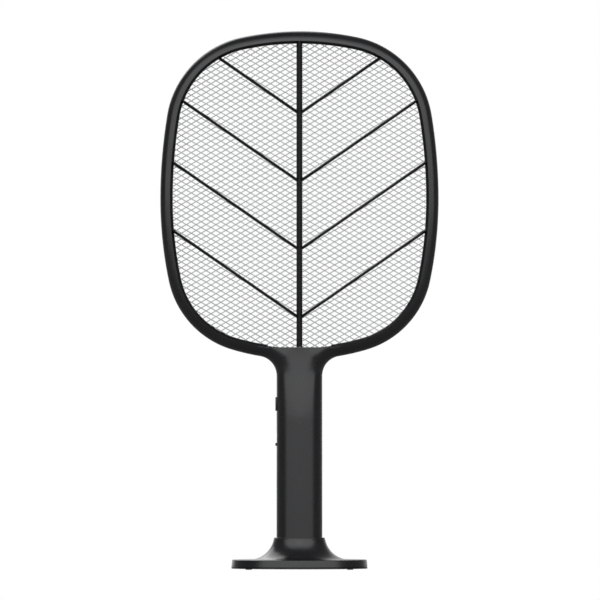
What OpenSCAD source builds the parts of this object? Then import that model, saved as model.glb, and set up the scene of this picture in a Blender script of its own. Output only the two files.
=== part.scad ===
// Electric fly swatter standing in a round charging stand.
// Origin: on the surface it stands on, under the middle of the stand.
// +Z is up, -Y is the front, and the buttons are on the -X side.
// Heights called h are measured forwards from the middle plane of the head.

/* [Head] */
// Width of the head at its widest line
head_w = 227.6; // [190:0.1:280]
// Height of the head above its widest line
head_up_h = 137.3; // [114:0.1:165]
// Height of the head below its widest line
head_down_h = 131.1; // [109:0.1:158]
// Radius of the upper corners of the outline
corner_up_r = 77.7; // [64:0.1:94]
// Radius of the lower corners of the outline
corner_down_r = 74.5; // [62:0.1:90]
// Turn of the upper half's side arc, in degrees
side_up_turn = 9.4; // [8:0.1:11]
// Turn of the top arc on each side of the middle, in degrees
top_turn = 12; // [10:0.1:14]
// Turn of the lower half's side arc, in degrees
side_down_turn = 11.9; // [10:0.1:14]
// Turn of the bottom arc on each side of the middle, in degrees
bottom_turn = 16.5; // [14:0.1:19]
// Depth of the head from front to back
head_depth = 20; // [17:0.1:24]
// Width of the rounded band round the head
band_w = 8; // [6.6:0.1:9.6]
// Wall behind the curved side of the band
band_wall = 1.6; // [1.3:0.1:2]
// Wall behind the front of the band
face_wall = 2.4; // [2:0.1:2.9]

/* [Grille and meshes] */
// Width of the inner lip that shows inside the band
lip_w = 2.2; // [1.8:0.1:2.7]
// Thickness of the grille's plate
grille_t = 1.8; // [1.5:0.1:2.2]
// How far the ribs stand forward of the grille's plate
rib_rise = 1.3; // [0.8:0.1:1.6]
// Width of the centre spine at its foot
spine_w = 4.8; // [4:0.1:5.8]
// Width of the flat along the front of the spine
spine_flat_w = 1.6; // [1.2:0.1:2]
// Width of a slanting rib
vein_w = 2.4; // [2:0.1:3]
// Angle of the slanting ribs above the horizontal
vein_tilt = 34.7; // [28:0.1:40]
// Distance between the slanting ribs along the spine
vein_pitch = 55.7; // [47:0.1:60]
// Number of pairs of slanting ribs
vein_pairs = 4; // [3:4]
// Height of the lowest pair's joint above the foot of the opening
first_vein_h = 23.8; // [20:0.1:28]
// Thickness of a mesh sheet
mesh_t = 0.4; // [0.3:0.05:0.5]
// Width of the spacer frames hidden behind the band and the lip
spacer_w = 5.2; // [4.4:0.1:6]
// Clearance of the sheets inside the band
sheet_gap = 0.3; // [0.2:0.05:0.4]

/* [Handle] */
// Diameter of the handle
handle_d = 37.4; // [36:0.1:45]
// Wall of the handle
handle_wall = 2; // [1.7:0.1:2.4]
// Length of the handle from its foot to the bottom of the head
handle_len = 162.3; // [158:0.1:195]
// Radius between the handle and the head, seen from the front
neck_r = 16; // [13:0.1:19]
// Height over which the handle's front thins down to the head
ramp_len = 30; // [26:0.1:36]
// Thickness of the end cap's flange
cap_flange_t = 2; // [1.7:0.1:2.4]
// Depth of the end cap's spigot inside the handle
cap_spigot_h = 4; // [3.3:0.1:4.4]
// Clearance of the end cap's spigot
cap_gap = 0.1; // [0.05:0.01:0.2]

/* [Controls] */
// Height of the trigger button
trigger_h = 11.5; // [9.6:0.1:13.8]
// Width of the trigger button
trigger_w = 8; // [7:0.1:9]
// How far the trigger button and the slider's ridge stand out
control_rise = 1; // [0.8:0.1:1.2]
// Travel of the trigger button
trigger_travel = 1.2; // [1:0.1:1.3]
// Height of the trigger button's middle above the handle's foot
trigger_z = 125.9; // [122:0.1:128]
// Height of the power slider
slider_h = 8.4; // [7:0.1:9.5]
// Width of the power slider
slider_w = 4.5; // [3.8:0.1:5.4]
// Travel of the power slider
slider_travel = 1.8; // [1.5:0.1:2.2]
// Height of the power slider's middle above the handle's foot
slider_z = 95.9; // [94:0.1:98]
// Clearance round the controls in the handle's wall
control_gap = 0.2; // [0.15:0.01:0.3]
// Clearance of plungers, levers and pins that run in a hole
running_gap = 0.06; // [0.03:0.01:0.1]

/* [Electrics] */
// Diameter of the battery cell
cell_d = 18.4; // [14:0.1:18.6]
// Length of the battery cell
cell_len = 65.2; // [50:0.1:65.5]
// Height of the cell's lower end above the handle's foot
cell_z = 14.7; // [14.5:0.1:15.5]
// Wall of the cell's cradle
cradle_wall = 1.6; // [1.3:0.1:1.9]
// Width of the circuit board
board_w = 24; // [20:0.1:26]
// Length of the circuit board
board_len = 52; // [50:0.1:54]
// Thickness of the circuit board
board_t = 1.6; // [1:0.1:1.8]
// Distance of the circuit board's face from the handle's axis
board_x = 8; // [7.5:0.1:8.4]
// Diameter of the posts that take the handle's screws
post_d = 6.5; // [5.6:0.1:7.2]
// Diameter of a screw's shank
screw_d = 2; // [1.8:0.1:2.2]
// Diameter of an insulated wire
wire_d = 1.4; // [1.1:0.1:1.6]

/* [Stand] */
// Diameter of the stand at its foot
stand_d = 111.4; // [106:0.1:134]
// How much narrower the stand's rim is at its top, on the radius
rim_draft = 0.5; // [0.2:0.1:0.8]
// Height of the stand's plate above the surface
plate_top = 8; // [8:0.1:9.6]
// Wall of the stand
stand_wall = 2; // [1.6:0.1:2]
// Height of the collar's top above the surface
collar_top = 26; // [24:0.1:31]
// Wall of the collar at its top
collar_wall = 1.8; // [1.5:0.1:2.2]
// Radius of the flare between the collar and the plate
flare_r = 20.5; // [18:0.1:22]
// Clearance of the handle in the socket
socket_gap = 0.3; // [0.2:0.05:0.4]
// Height of the socket's floor above the stand's plate
socket_rise = 1; // [1:0.1:1.5]
// Gap under the handle's foot
foot_gap = 0.3; // [0.2:0.05:0.4]
// Height of the rubber feet below the base plate
foot_h = 0.7; // [0.5:0.1:1]
// Diameter of a rubber foot
foot_d = 5; // [4.2:0.1:6]
// Distance between the feet from side to side
feet_span_x = 82.8; // [78:0.1:86]
// Distance between the feet from front to back
feet_span_y = 47.8; // [44:0.1:52]
// Thickness of the ballast ring
ballast_t = 3; // [2.5:0.1:3.4]
// Distance between the two charging contacts
contact_span = 14; // [12:0.1:16]
// Travel of the spring contacts
contact_travel = 0.8; // [0.6:0.1:0.9]

/* [Hidden] */
$fn = 64;
// Smallest overlap that keeps a cut from ending on a face
cut = 1;

// Heights along the stand and the handle
socket_floor = plate_top + socket_rise;
foot_z = socket_floor + foot_gap;
shell_z = foot_z + cap_flange_t;
head_z = foot_z + handle_len + head_down_h;

// Handle
handle_r = handle_d / 2;
bore_r = handle_r - handle_wall;

// Depths in the head, forwards from its middle plane
bead_r = head_depth / 2;
bead_rise = sqrt(pow(bead_r, 2) - pow(max(bead_r - band_w, 0), 2));
grille_h = bead_rise - face_wall;
mesh_h = grille_h - grille_t;
spacer_h = mesh_h - mesh_t;
rib_h = grille_h + rib_rise;

// Distances inwards from the head's outline
bead_inner_r = bead_r - band_wall;
grille_inset = bead_r - sqrt(pow(bead_inner_r, 2) - pow(grille_h, 2)) + sheet_gap;
mesh_inset = bead_r - sqrt(pow(bead_inner_r, 2) - pow(mesh_h, 2)) + sheet_gap;
lip_inset = band_w + lip_w;
rib_gap = 0.1;
slot_half_w = 25.8;
neck_hole_w = 24;

// An arc is [centre x, centre z, radius, first angle, last angle].
// The side and end radii follow from the corner's radius and the two turns.
function arcs(half_w, half_h, side, end, corner_r) =
    let (
        a = 1 - cos(side), b = sin(end), c = sin(side), d = 1 - cos(end),
        p = half_w - corner_r * (cos(side) - sin(end)),
        q = half_h + corner_r * (sin(side) - cos(end)),
        det = a * d - b * c,
        side_r = (p * d - b * q) / det,
        end_r = (a * q - p * c) / det
    )
    [
        [half_w - side_r, 0, side_r, 0, side],
        [half_w - side_r + (side_r - corner_r) * cos(side), (side_r - corner_r) * sin(side),
            corner_r, side, 90 - end],
        [0, half_h - end_r, end_r, 90 - end, 90 + end]
    ];
upper_arcs = arcs(head_w / 2, head_up_h, side_up_turn, top_turn, corner_up_r);
lower_arcs = arcs(head_w / 2, head_down_h, side_down_turn, bottom_turn, corner_down_r);

// Points of one quarter, from the widest line to just before the middle
outline_step = 4;
function arc_point(arc, angle, inset) =
    [arc[0] + (arc[2] - inset) * cos(angle), arc[1] + (arc[2] - inset) * sin(angle)];
function quarter(chain, inset) = [
    for (arc = chain)
        let (last = min(arc[4], 90), n = ceil((last - arc[3]) / outline_step))
        for (i = [0 : n - 1]) arc_point(arc, arc[3] + (last - arc[3]) * i / n, inset)
];
function reversed(list) = [for (i = [len(list) - 1 : -1 : 0]) list[i]];
function rest(list) = [for (i = [1 : len(list) - 1]) list[i]];
function turned(list, sx, sz) = [for (p = list) [p[0] * sx, p[1] * sz]];
function head_points(inset) =
    let (up = quarter(upper_arcs, inset), down = quarter(lower_arcs, inset))
    concat(
        up, [[0, head_up_h - inset]], reversed(turned(up, -1, 1)),
        turned(rest(down), -1, -1), [[0, inset - head_down_h]],
        reversed(rest(turned(down, 1, -1)))
    );

// Height of the straight foot of the opening
slot_z = head_z - head_down_h + lip_inset - 0.2;

// Fillet between the handle and the bottom arc of the head
bottom_arc = lower_arcs[2];
bottom_centre_z = head_z - bottom_arc[1];
neck_x = handle_r - 0.05 + neck_r;
neck_z = bottom_centre_z - sqrt(pow(bottom_arc[2] + neck_r, 2) - pow(neck_x, 2));
neck_turn = 180 - atan2(bottom_centre_z - neck_z, -neck_x);
neck_gap = asin(neck_x / (bottom_arc[2] + neck_r));

// Ramp on the front of the handle: two equal arcs that meet halfway, ending just inside the neck's face
ramp_sink = 0.3;
ramp_end_h = bead_rise - ramp_sink;
ramp_drop = handle_r - ramp_end_h;
ramp_top = slot_z - 7.3;
ramp_foot = ramp_top - ramp_len;
ramp_r = (pow(ramp_len, 2) + pow(ramp_drop, 2)) / (4 * ramp_drop);

// Controls
board_face = -board_x;
trigger_mid = foot_z + trigger_z;
slider_mid = foot_z + slider_z;
control_face = -(handle_r + control_rise);
flange_t = 1;
flange_side = 1.3;
trigger_flange_x = -sqrt(pow(bore_r, 2) - pow(trigger_w / 2 + flange_side, 2)) + 0.25;
slider_flange_x = -sqrt(pow(bore_r, 2) - pow(slider_w / 2 + flange_side, 2)) + 0.25;
plunger_d = 3.4;
switch_body_h = 3.7;
switch_face = board_face - switch_body_h;
lever_w = 1.5;

// Electrics
cell_foot = foot_z + cell_z;
cell_top = cell_foot + cell_len;
contact_t = 0.3;
cradle_foot = cell_foot - contact_t - 0.9;
cradle_top = cell_top + contact_t + 0.9;
board_foot = foot_z + 89.2;
board_top = board_foot + board_len;
low_post_z = (shell_z + cap_spigot_h + cradle_foot) / 2;
mid_post_z = (cradle_top + board_foot) / 2;
high_post_z = board_top + post_d / 2 + 1.8;
post_heights = [low_post_z, mid_post_z, high_post_z];
screw_seat_y = 13;
screw_head_d = 4;
screw_head_t = 1.6;
screw_tip_y = -7;
terminal_x = 7;
terminal_w = 3;
terminal_foot = head_z - head_down_h + mesh_inset - 5.5;
mesh_foot = head_z - head_down_h + mesh_inset;
transformer_z = board_foot + 26.5;

// Stand
stand_r = stand_d / 2;
socket_r = handle_r + socket_gap;
collar_r = socket_r + collar_wall;
flare_x = collar_r + flare_r - 0.1;
flare_z = plate_top + flare_r;
plate_foot = foot_h;
plate_flange_t = 1;
shell_foot = plate_foot + plate_flange_t + 0.3;
plate_floor = plate_foot + 1.2;
rim_wall = 2.6;
rim_inner_r = stand_r - rim_draft - rim_wall;
ballast_inner_r = 24;
ballast_outer_r = rim_inner_r - 3;
base_screw_ring_r = 47;
base_screw_angles = [45, 135, 225, 315];
boss_r = 3;
charge_board_t = 0.8;
charge_board_w = 16;
charge_board_top = plate_floor + charge_board_t;
usb_w = 8.9;
usb_h = 3.2;
usb_len = 7.9;
usb_mouth_y = stand_r - 1.5;
usb_mid_z = charge_board_top + usb_h / 2;
contact_head_z = foot_z + 0.2;
pin_r = 1;
pin_tip = contact_head_z - foot_gap;
barrel_r = 1.8;
barrel_top = pin_tip - contact_travel;
key_y = 12;
key_r = 2;
pad_r = 3;

shell_colour = [0.2, 0.2, 0.205];
black = [0.05, 0.05, 0.055];
wire_colours = ["firebrick", "black", "ivory"];

// A flat piece lying in the plane of the head, between two depths
module slab(from_h, to_h) {
    rotate([90, 0, 0]) translate([0, 0, from_h]) linear_extrude(to_h - from_h) children();
}
module head_2d(inset) {
    translate([0, head_z]) polygon(head_points(inset));
}
// Section of the band: x inwards from the outline, y forwards from the middle plane
outer_steps = 8;
inner_steps = 5;
outer_turn = acos((bead_r - band_w) / bead_r);
inner_turn = asin(grille_h / bead_inner_r);
band_section = concat(
    [for (i = [0 : outer_steps])
        let (t = outer_turn * i / outer_steps) [bead_r * (1 - cos(t)), bead_r * sin(t)]],
    [[band_w, grille_h]],
    [for (i = [inner_steps : -1 : 0])
        let (t = inner_turn * i / inner_steps) [bead_r - bead_inner_r * cos(t), bead_inner_r * sin(t)]]
);

// Path of the band from the handle round to the top: [x, z, inward x, inward z]
function arc_path(arc, from, to, up) =
    let (n = ceil(abs(to - from) / outline_step))
    [for (i = [0 : n - 1])
        let (t = from + (to - from) * i / n)
        [arc[0] + arc[2] * cos(t), head_z + up * (arc[1] + arc[2] * sin(t)), -cos(t), -up * sin(t)]];
neck_steps = ceil(neck_turn / 6);
half_path = concat(
    [for (i = [0 : neck_steps - 1])
        let (t = 180 - neck_turn * i / neck_steps)
        [neck_x + neck_r * cos(t), neck_z + neck_r * sin(t), cos(t), sin(t)]],
    arc_path(lower_arcs[2], 90 - neck_gap, lower_arcs[2][3], -1),
    arc_path(lower_arcs[1], lower_arcs[1][4], lower_arcs[1][3], -1),
    arc_path(lower_arcs[0], lower_arcs[0][4], 0, -1),
    arc_path(upper_arcs[0], 0, upper_arcs[0][4], 1),
    arc_path(upper_arcs[1], upper_arcs[1][3], upper_arcs[1][4], 1),
    arc_path(upper_arcs[2], upper_arcs[2][3], 90, 1)
);
band_path = concat(
    half_path, [[0, head_z + head_up_h, 0, -1]],
    [for (s = reversed(half_path)) [-s[0], s[1], -s[2], s[3]]]
);
module band() {
    n = len(band_section);
    last = len(band_path) - 1;
    points = [for (s = band_path, p = band_section) [s[0] + s[2] * p[0], -p[1], s[1] + s[3] * p[0]]];
    sides = [for (i = [0 : last - 1], j = [0 : n - 1])
        let (a = i * n + j, b = i * n + (j + 1) % n)
        each [[a, b, a + n], [b, b + n, a + n]]];
    ends = [[for (j = [n - 1 : -1 : 0]) j], [for (j = [0 : n - 1]) last * n + j]];
    polyhedron(points, concat(sides, ends));
}
module rod(from, to, d) {
    run = to - from;
    translate(from) rotate([0, acos(run[2] / norm(run)), atan2(run[1], run[0])])
        cylinder(h = norm(run), d = d, $fn = 24);
}
// A wire along straight runs, which pass each other a little at the bends
module wire(points) {
    last = len(points) - 2;
    for (i = [0 : last]) {
        way = (points[i + 1] - points[i]) / norm(points[i + 1] - points[i]);
        before = i == 0 ? 0 : wire_d / 2;
        after = i == last ? 0 : wire_d / 2;
        rod(points[i] - before * way, points[i + 1] + after * way, wire_d - 0.05 * (i % 2));
    }
}

// Front half of the handle, thinning at its top; inset gives the inside
module handle_half(inset, foot, top) {
    radius = handle_r - inset;
    rotate([0, 0, 180]) rotate_extrude(angle = 180, $fn = 96)
        translate([0, foot]) square([radius, ramp_foot - foot]);
    intersection() {
        rotate([0, 0, 180]) rotate_extrude(angle = 180, $fn = 96)
            translate([0, ramp_foot]) square([radius, top - ramp_foot]);
        rotate([90, 0, 90]) translate([0, 0, -handle_d]) linear_extrude(2 * handle_d) ramp_side(inset);
    }
}
// Side view of the ramp: x is y, y is z
module ramp_side(inset) {
    half = ramp_len / 2;
    intersection() {
        translate([ramp_r - handle_r, ramp_foot]) circle(r = ramp_r - inset, $fn = 180);
        translate([-handle_r, ramp_foot]) square([handle_r, half]);
    }
    difference() {
        translate([-handle_r, ramp_foot + half]) square([handle_r, half]);
        translate([-ramp_end_h - ramp_r, ramp_top]) circle(r = ramp_r + inset, $fn = 180);
    }
}
// Flat front of the neck between the fillets, up to the foot of the opening
module neck_face_2d() {
    difference() {
        translate([-neck_x, neck_z]) square([2 * neck_x, slot_z - neck_z]);
        for (side = [-1, 1])
            translate([side * neck_x, neck_z]) circle(r = neck_r + band_w - 0.4, $fn = 120);
    }
}
module half_shell_outside() {
    band();
    slab(grille_h, bead_rise) neck_face_2d();
    handle_half(0, shell_z, ramp_top);
}
module half_shell_inside() {
    handle_half(handle_wall, shell_z - cut, ramp_top - handle_wall);
    slab(-cut, grille_h) translate([-neck_hole_w / 2, ramp_foot])
        square([neck_hole_w, mesh_foot - ramp_foot]);
    slab(-cut, grille_h) intersection() {
        head_2d(mesh_inset - 2 * sheet_gap);
        translate([-handle_r - cut, ramp_foot]) square([handle_d + 2 * cut, slot_z - ramp_foot]);
    }
}
module control_openings() {
    reach = handle_r + cut;
    trigger_gap_h = trigger_h + 2 * control_gap;
    trigger_gap_w = trigger_w + 2 * control_gap;
    translate([-reach, -trigger_gap_w / 2, trigger_mid - trigger_gap_h / 2])
        cube([reach - bore_r + 3, trigger_gap_w, trigger_gap_h]);
    slot_h = slider_h + slider_travel + 2 * control_gap;
    slot_w = slider_w + 2 * control_gap;
    translate([-reach, -slot_w / 2, slider_mid - slider_h / 2 - control_gap])
        cube([reach - bore_r + 3, slot_w, slot_h]);
}
// Rails that hold one edge of the circuit board, in the front half
module board_rails() {
    rail_t = 1.5;
    rail_gap = 0.15;
    intersection() {
        for (x = [board_face - rail_gap - rail_t, board_face + board_t + rail_gap], z = [2, board_len - 12])
            translate([x, -handle_r, board_foot + z])
                cube([rail_t, handle_r - board_w / 2 + 1.5, 10]);
        cylinder(r = bore_r + handle_wall / 2, h = board_top);
    }
}
function face_h(z) = z <= ramp_foot ? handle_r
    : handle_r - ramp_r + sqrt(pow(ramp_r, 2) - pow(z - ramp_foot, 2));
module posts(hole_d, hole_len) {
    for (z = post_heights) translate([0, 0, z]) rotate([90, 0, 0]) difference() {
        cylinder(d = post_d, h = face_h(z) - handle_wall / 2);
        translate([0, 0, -cut]) cylinder(d = hole_d, h = hole_len + cut, $fn = 32);
    }
}
module half_shell(hole_d, hole_len) {
    difference() {
        half_shell_outside();
        half_shell_inside();
        control_openings();
    }
    board_rails();
    posts(hole_d, hole_len);
}

module front_shell() {
    color(shell_colour) half_shell(screw_d + 0.1, -screw_tip_y + 1);
}
module rear_shell() {
    color(shell_colour) difference() {
        mirror([0, 1, 0]) half_shell(screw_d + 0.4, handle_d);
        for (z = post_heights) translate([0, screw_seat_y, z]) rotate([-90, 0, 0])
            cylinder(d = screw_head_d + 0.6, h = handle_r, $fn = 32);
    }
}

module opening_2d() {
    head_2d(lip_inset);
    intersection() {
        head_2d(band_w);
        translate([-slot_half_w, slot_z]) square([2 * slot_half_w, 3 * lip_w]);
    }
}
module veins_2d() {
    for (side = [0, 1], i = [0 : vein_pairs - 1]) mirror([side, 0])
        translate([0, slot_z + first_vein_h + i * vein_pitch]) rotate(vein_tilt)
            translate([0, -vein_w / 2]) square([head_w, vein_w]);
}
module grille() {
    color(black) {
        slab(mesh_h, grille_h) {
            difference() {
                head_2d(grille_inset);
                opening_2d();
            }
            intersection() {
                union() {
                    veins_2d();
                    translate([-spine_w / 2, slot_z - lip_w]) square([spine_w, 2 * head_w]);
                }
                head_2d(band_w);
            }
        }
        slab(grille_h, rib_h - 0.3) intersection() {
            veins_2d();
            head_2d(band_w + rib_gap);
        }
        translate([0, 0, slot_z + rib_gap])
            linear_extrude(head_z + head_up_h - band_w - rib_gap - slot_z - rib_gap)
                polygon([
                    [-spine_w / 2, -grille_h], [-spine_flat_w / 2, -rib_h],
                    [spine_flat_w / 2, -rib_h], [spine_w / 2, -grille_h]
                ]);
    }
}
module front_grille() { grille(); }
module rear_grille() { mirror([0, 1, 0]) grille(); }

module front_guard_mesh() { color("silver") slab(spacer_h, mesh_h) head_2d(mesh_inset); }
module centre_mesh() { color("silver") slab(-mesh_t / 2, mesh_t / 2) head_2d(mesh_inset); }
module rear_guard_mesh() { color("silver") slab(-mesh_h, -spacer_h) head_2d(mesh_inset); }
module spacer() {
    color(black) slab(mesh_t / 2, spacer_h) difference() {
        head_2d(mesh_inset);
        head_2d(mesh_inset + spacer_w);
    }
}
module front_spacer() { spacer(); }
module rear_spacer() { mirror([0, 1, 0]) spacer(); }

// One tab for each mesh, hanging from its lower edge
mesh_planes = [mesh_h - mesh_t, -mesh_t / 2, -mesh_h];
terminal_sides = [-terminal_x, terminal_x, -terminal_x];
module mesh_terminals() {
    color("gold") for (i = [0 : 2])
        translate([terminal_sides[i] - terminal_w / 2, -mesh_planes[i] - mesh_t, terminal_foot])
            cube([terminal_w, mesh_t, mesh_foot - terminal_foot]);
}
module electrode_leads() {
    start_y = [-3, 0, 3];
    over_post_z = high_post_z + post_d;
    for (i = [0 : 2]) {
        plane_y = -mesh_planes[i] - mesh_t / 2;
        color(wire_colours[i]) wire([
            [board_face + board_t / 2, start_y[i], board_top],
            [board_face + board_t / 2, start_y[i], over_post_z],
            [terminal_sides[i], plane_y, over_post_z],
            [terminal_sides[i], plane_y, terminal_foot]
        ]);
    }
}

module end_cap() {
    chamfer = 0.6;
    spigot_r = bore_r - cap_gap;
    spigot_top = shell_z + cap_spigot_h;
    color(shell_colour) difference() {
        rotate_extrude($fn = 96) polygon([
            [0, foot_z], [handle_r - chamfer, foot_z], [handle_r, foot_z + chamfer],
            [handle_r, shell_z], [spigot_r, shell_z], [spigot_r, spigot_top],
            [spigot_r - handle_wall, spigot_top], [spigot_r - handle_wall, shell_z + 0.6],
            [0, shell_z + 0.6]
        ]);
        for (side = [-1, 1]) translate([side * contact_span / 2, 0, foot_z - cut])
            cylinder(r = pad_r, h = cap_flange_t + 0.6 + 2 * cut, $fn = 32);
        translate([0, key_y, foot_z - cut]) cylinder(r = key_r + 0.3, h = cut + 1.6, $fn = 32);
    }
}
module charge_pads() {
    color("gold") for (side = [-1, 1])
        translate([side * contact_span / 2, 0, contact_head_z]) cylinder(r = pad_r, h = cap_flange_t, $fn = 32);
}
module charge_leads() {
    pad_top = contact_head_z + cap_flange_t;
    lead_x = 13.2;
    for (side = [-1, 1]) color(wire_colours[0]) wire([
        [side * contact_span / 2, 0, pad_top],
        [side * contact_span / 2, 0, pad_top + 2],
        [lead_x, side * 4, pad_top + 2],
        [lead_x, side * 4, cradle_top],
        [board_face + board_t + 3, side * 8, board_foot + 3],
        [board_face + board_t, side * 8, board_foot + 3]
    ]);
}

module battery_cell() {
    cap_h = 1.2;
    color("seagreen") translate([0, 0, cell_foot]) cylinder(d = cell_d, h = cell_len - cap_h);
    color("silver") translate([0, 0, cell_top - cap_h]) cylinder(d = cell_d * 0.35, h = cap_h, $fn = 32);
}
module cell_contacts() {
    contact_w = 8;
    color("silver") for (z = [cell_foot - contact_t, cell_top])
        translate([-contact_w / 2, -contact_w / 2, z]) cube([contact_w, contact_w, contact_t]);
}
module battery_cradle() {
    inner_r = cell_d / 2 + 0.2;
    outer_r = inner_r + cradle_wall;
    end_t = 0.9;
    length = cradle_top - cradle_foot;
    color(black) {
        difference() {
            translate([0, 0, cradle_foot]) rotate([0, 0, 180]) rotate_extrude(angle = 180)
                square([outer_r, length]);
            translate([0, 0, cradle_foot + end_t]) cylinder(r = inner_r, h = length - 2 * end_t);
        }
        for (angle = [225, 270, 315], z = [8, length - 11]) rotate([0, 0, angle])
            translate([outer_r - 0.3, -0.75, cradle_foot + z]) cube([bore_r - 0.1 - outer_r + 0.3, 1.5, 3]);
    }
}
module battery_leads() {
    lead_y = 3.2;
    start_x = -3.2;
    outer_x = -13.2;
    inner_x = -11;
    upper_z = cell_top + contact_t + wire_d / 2;
    lower_z = cell_foot - contact_t - wire_d / 2;
    color(wire_colours[0]) wire([
        [start_x, lead_y, upper_z], [inner_x, lead_y, upper_z],
        [inner_x, lead_y, board_foot - 2], [board_face + board_t / 2, lead_y, board_foot - 2],
        [board_face + board_t / 2, lead_y, board_foot]
    ]);
    color(wire_colours[1]) wire([
        [start_x, lead_y, lower_z], [outer_x, lead_y, lower_z],
        [outer_x, lead_y, board_foot - 3.5], [board_face + board_t / 2, -lead_y, board_foot - 3.5],
        [board_face + board_t / 2, -lead_y, board_foot]
    ]);
}

module control_board() {
    color("darkgreen") translate([board_face, -board_w / 2, board_foot]) cube([board_t, board_w, board_len]);
}
// Chips as [y, z above the board's foot, width, height, thickness]
chips = [[-6, 19, 5, 4, 1.4], [6, 17, 4, 5, 1.6], [0, 24, 3, 1.6, 0.9], [7, 24.5, 3, 1.6, 0.9], [-7, 47, 6, 3, 1.5]];
module board_components() {
    color(black) for (chip = chips)
        translate([board_face - chip[4], chip[0] - chip[2] / 2, board_foot + chip[1] - chip[3] / 2])
            cube([chip[4], chip[2], chip[3]]);
}
module transformer() {
    core = [12.6, 15, 4];
    winding = [10, 12.4, 9];
    foot_x = board_face + board_t;
    translate([foot_x, 0, transformer_z]) {
        color(black) for (z = [-winding[2] / 2 - core[2], winding[2] / 2])
            translate([0, -core[1] / 2, z]) cube(core);
        color("goldenrod") translate([1.3, -winding[1] / 2, -winding[2] / 2]) cube(winding);
    }
}
module hv_capacitors() {
    color("saddlebrown") for (side = [-1, 1])
        translate([board_face + board_t + 3.6, side * 4.6, transformer_z + 11.5]) cylinder(d = 7, h = 12, $fn = 32);
}
module rectifier_diodes() {
    color(black) for (i = [-1 : 1])
        translate([board_face + board_t + 1.5, i * 4.2, board_foot + 8]) cylinder(d = 2.7, h = 5.2, $fn = 24);
}

module tact_switch() {
    body_w = 6.2;
    bore_len = switch_body_h - 0.9;
    color(black) difference() {
        translate([switch_face, -body_w / 2, trigger_mid - body_w / 2]) cube([switch_body_h, body_w, body_w]);
        translate([switch_face - cut, 0, trigger_mid]) rotate([0, 90, 0])
            cylinder(d = plunger_d + 2 * running_gap, h = bore_len + cut, $fn = 48);
    }
}
stem_end = switch_face - trigger_travel - 0.3;
module switch_plunger() {
    color("ivory") translate([stem_end, 0, trigger_mid]) rotate([0, 90, 0])
        cylinder(d = plunger_d, h = trigger_travel + 0.3 + switch_body_h - 0.9 - trigger_travel - 0.2, $fn = 48);
}
module trigger_button() {
    flange_h = trigger_h + 2 * flange_side + 1;
    flange_w = trigger_w + 2 * flange_side;
    stem_w = 4;
    color(black) {
        translate([control_face, -trigger_w / 2, trigger_mid - trigger_h / 2])
            cube([trigger_flange_x + flange_t / 2 - control_face, trigger_w, trigger_h]);
        translate([trigger_flange_x, -flange_w / 2, trigger_mid - flange_h / 2])
            cube([flange_t, flange_w, flange_h]);
        translate([trigger_flange_x, -stem_w / 2, trigger_mid - stem_w / 2])
            cube([stem_end - trigger_flange_x, stem_w, stem_w]);
    }
}

module slide_switch() {
    body = [switch_body_h, 4.4, 9.2];
    slot_h = lever_w + slider_travel + 4 * running_gap;
    slot_w = lever_w + 2 * running_gap;
    color("silver") difference() {
        translate([switch_face, -body[1] / 2, slider_mid - body[2] / 2]) cube(body);
        translate([switch_face - cut, -slot_w / 2, slider_mid - lever_w / 2 - 2 * running_gap])
            cube([cut + switch_body_h - 1, slot_w, slot_h]);
    }
}
lever_tip = switch_face + switch_body_h - 1.3;
lever_root = switch_face - 2;
module switch_lever() {
    color(black) translate([lever_root, -lever_w / 2, slider_mid - lever_w / 2])
        cube([lever_tip - lever_root, lever_w, lever_w]);
}
module power_slider() {
    plate_face = -(handle_r - 0.35);
    ridge_h = 2.4;
    flange_w = slider_w + 2 * flange_side;
    flange_over = slider_travel + 1.1;
    fork_h = 3.6;
    fork_end = lever_root + 1.4;
    color(black) difference() {
        union() {
            translate([plate_face, -slider_w / 2, slider_mid - slider_h / 2])
                cube([slider_flange_x + flange_t / 2 - plate_face, slider_w, slider_h]);
            translate([control_face, -slider_w / 2, slider_mid - slider_h / 2])
                cube([plate_face - control_face + 0.2, slider_w, ridge_h]);
            translate([slider_flange_x, -flange_w / 2, slider_mid - slider_h / 2 - flange_over])
                cube([flange_t, flange_w, slider_h + 2 * flange_over]);
            translate([slider_flange_x, -fork_h / 2, slider_mid - fork_h / 2])
                cube([fork_end - slider_flange_x, fork_h, fork_h]);
        }
        translate([lever_root, -lever_w / 2, slider_mid - lever_w / 2]) cube([cut + 2, lever_w, lever_w]);
    }
}

module shell_screws() {
    color("silver") for (z = post_heights) translate([0, 0, z]) rotate([-90, 0, 0]) {
        translate([0, 0, screw_seat_y]) cylinder(d = screw_head_d, h = screw_head_t, $fn = 32);
        translate([0, 0, screw_tip_y]) cylinder(d = screw_d, h = screw_seat_y - screw_tip_y, $fn = 32);
    }
}

// Half section of the stand's shell: x is the radius, y is the height
module stand_section() {
    rim_r = stand_r - rim_draft;
    edge = 0.6;
    difference() {
        union() {
            polygon([
                [0, shell_foot], [stand_r - 0.1, shell_foot], [rim_r, plate_top - edge],
                [rim_r - edge, plate_top], [0, plate_top]
            ]);
            difference() {
                translate([0, plate_top]) square([flare_x, collar_top - 0.5 - plate_top]);
                translate([flare_x, flare_z]) circle(r = flare_r, $fn = 120);
            }
            polygon([
                [0, collar_top - 1], [collar_r, collar_top - 1], [collar_r, collar_top - 0.4],
                [collar_r - 0.4, collar_top], [0, collar_top]
            ]);
        }
        translate([0, socket_floor]) square([socket_r, collar_top]);
        translate([0, shell_foot - cut]) square([rim_inner_r, plate_top - stand_wall - shell_foot + cut]);
        translate([0, shell_foot]) square([socket_r + collar_wall, socket_floor - stand_wall - shell_foot]);
        difference() {
            translate([socket_r + collar_wall, shell_foot])
                square([flare_r - 2, collar_top - 6 - shell_foot]);
            translate([flare_x, flare_z]) circle(r = flare_r + stand_wall, $fn = 120);
        }
    }
}
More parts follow.
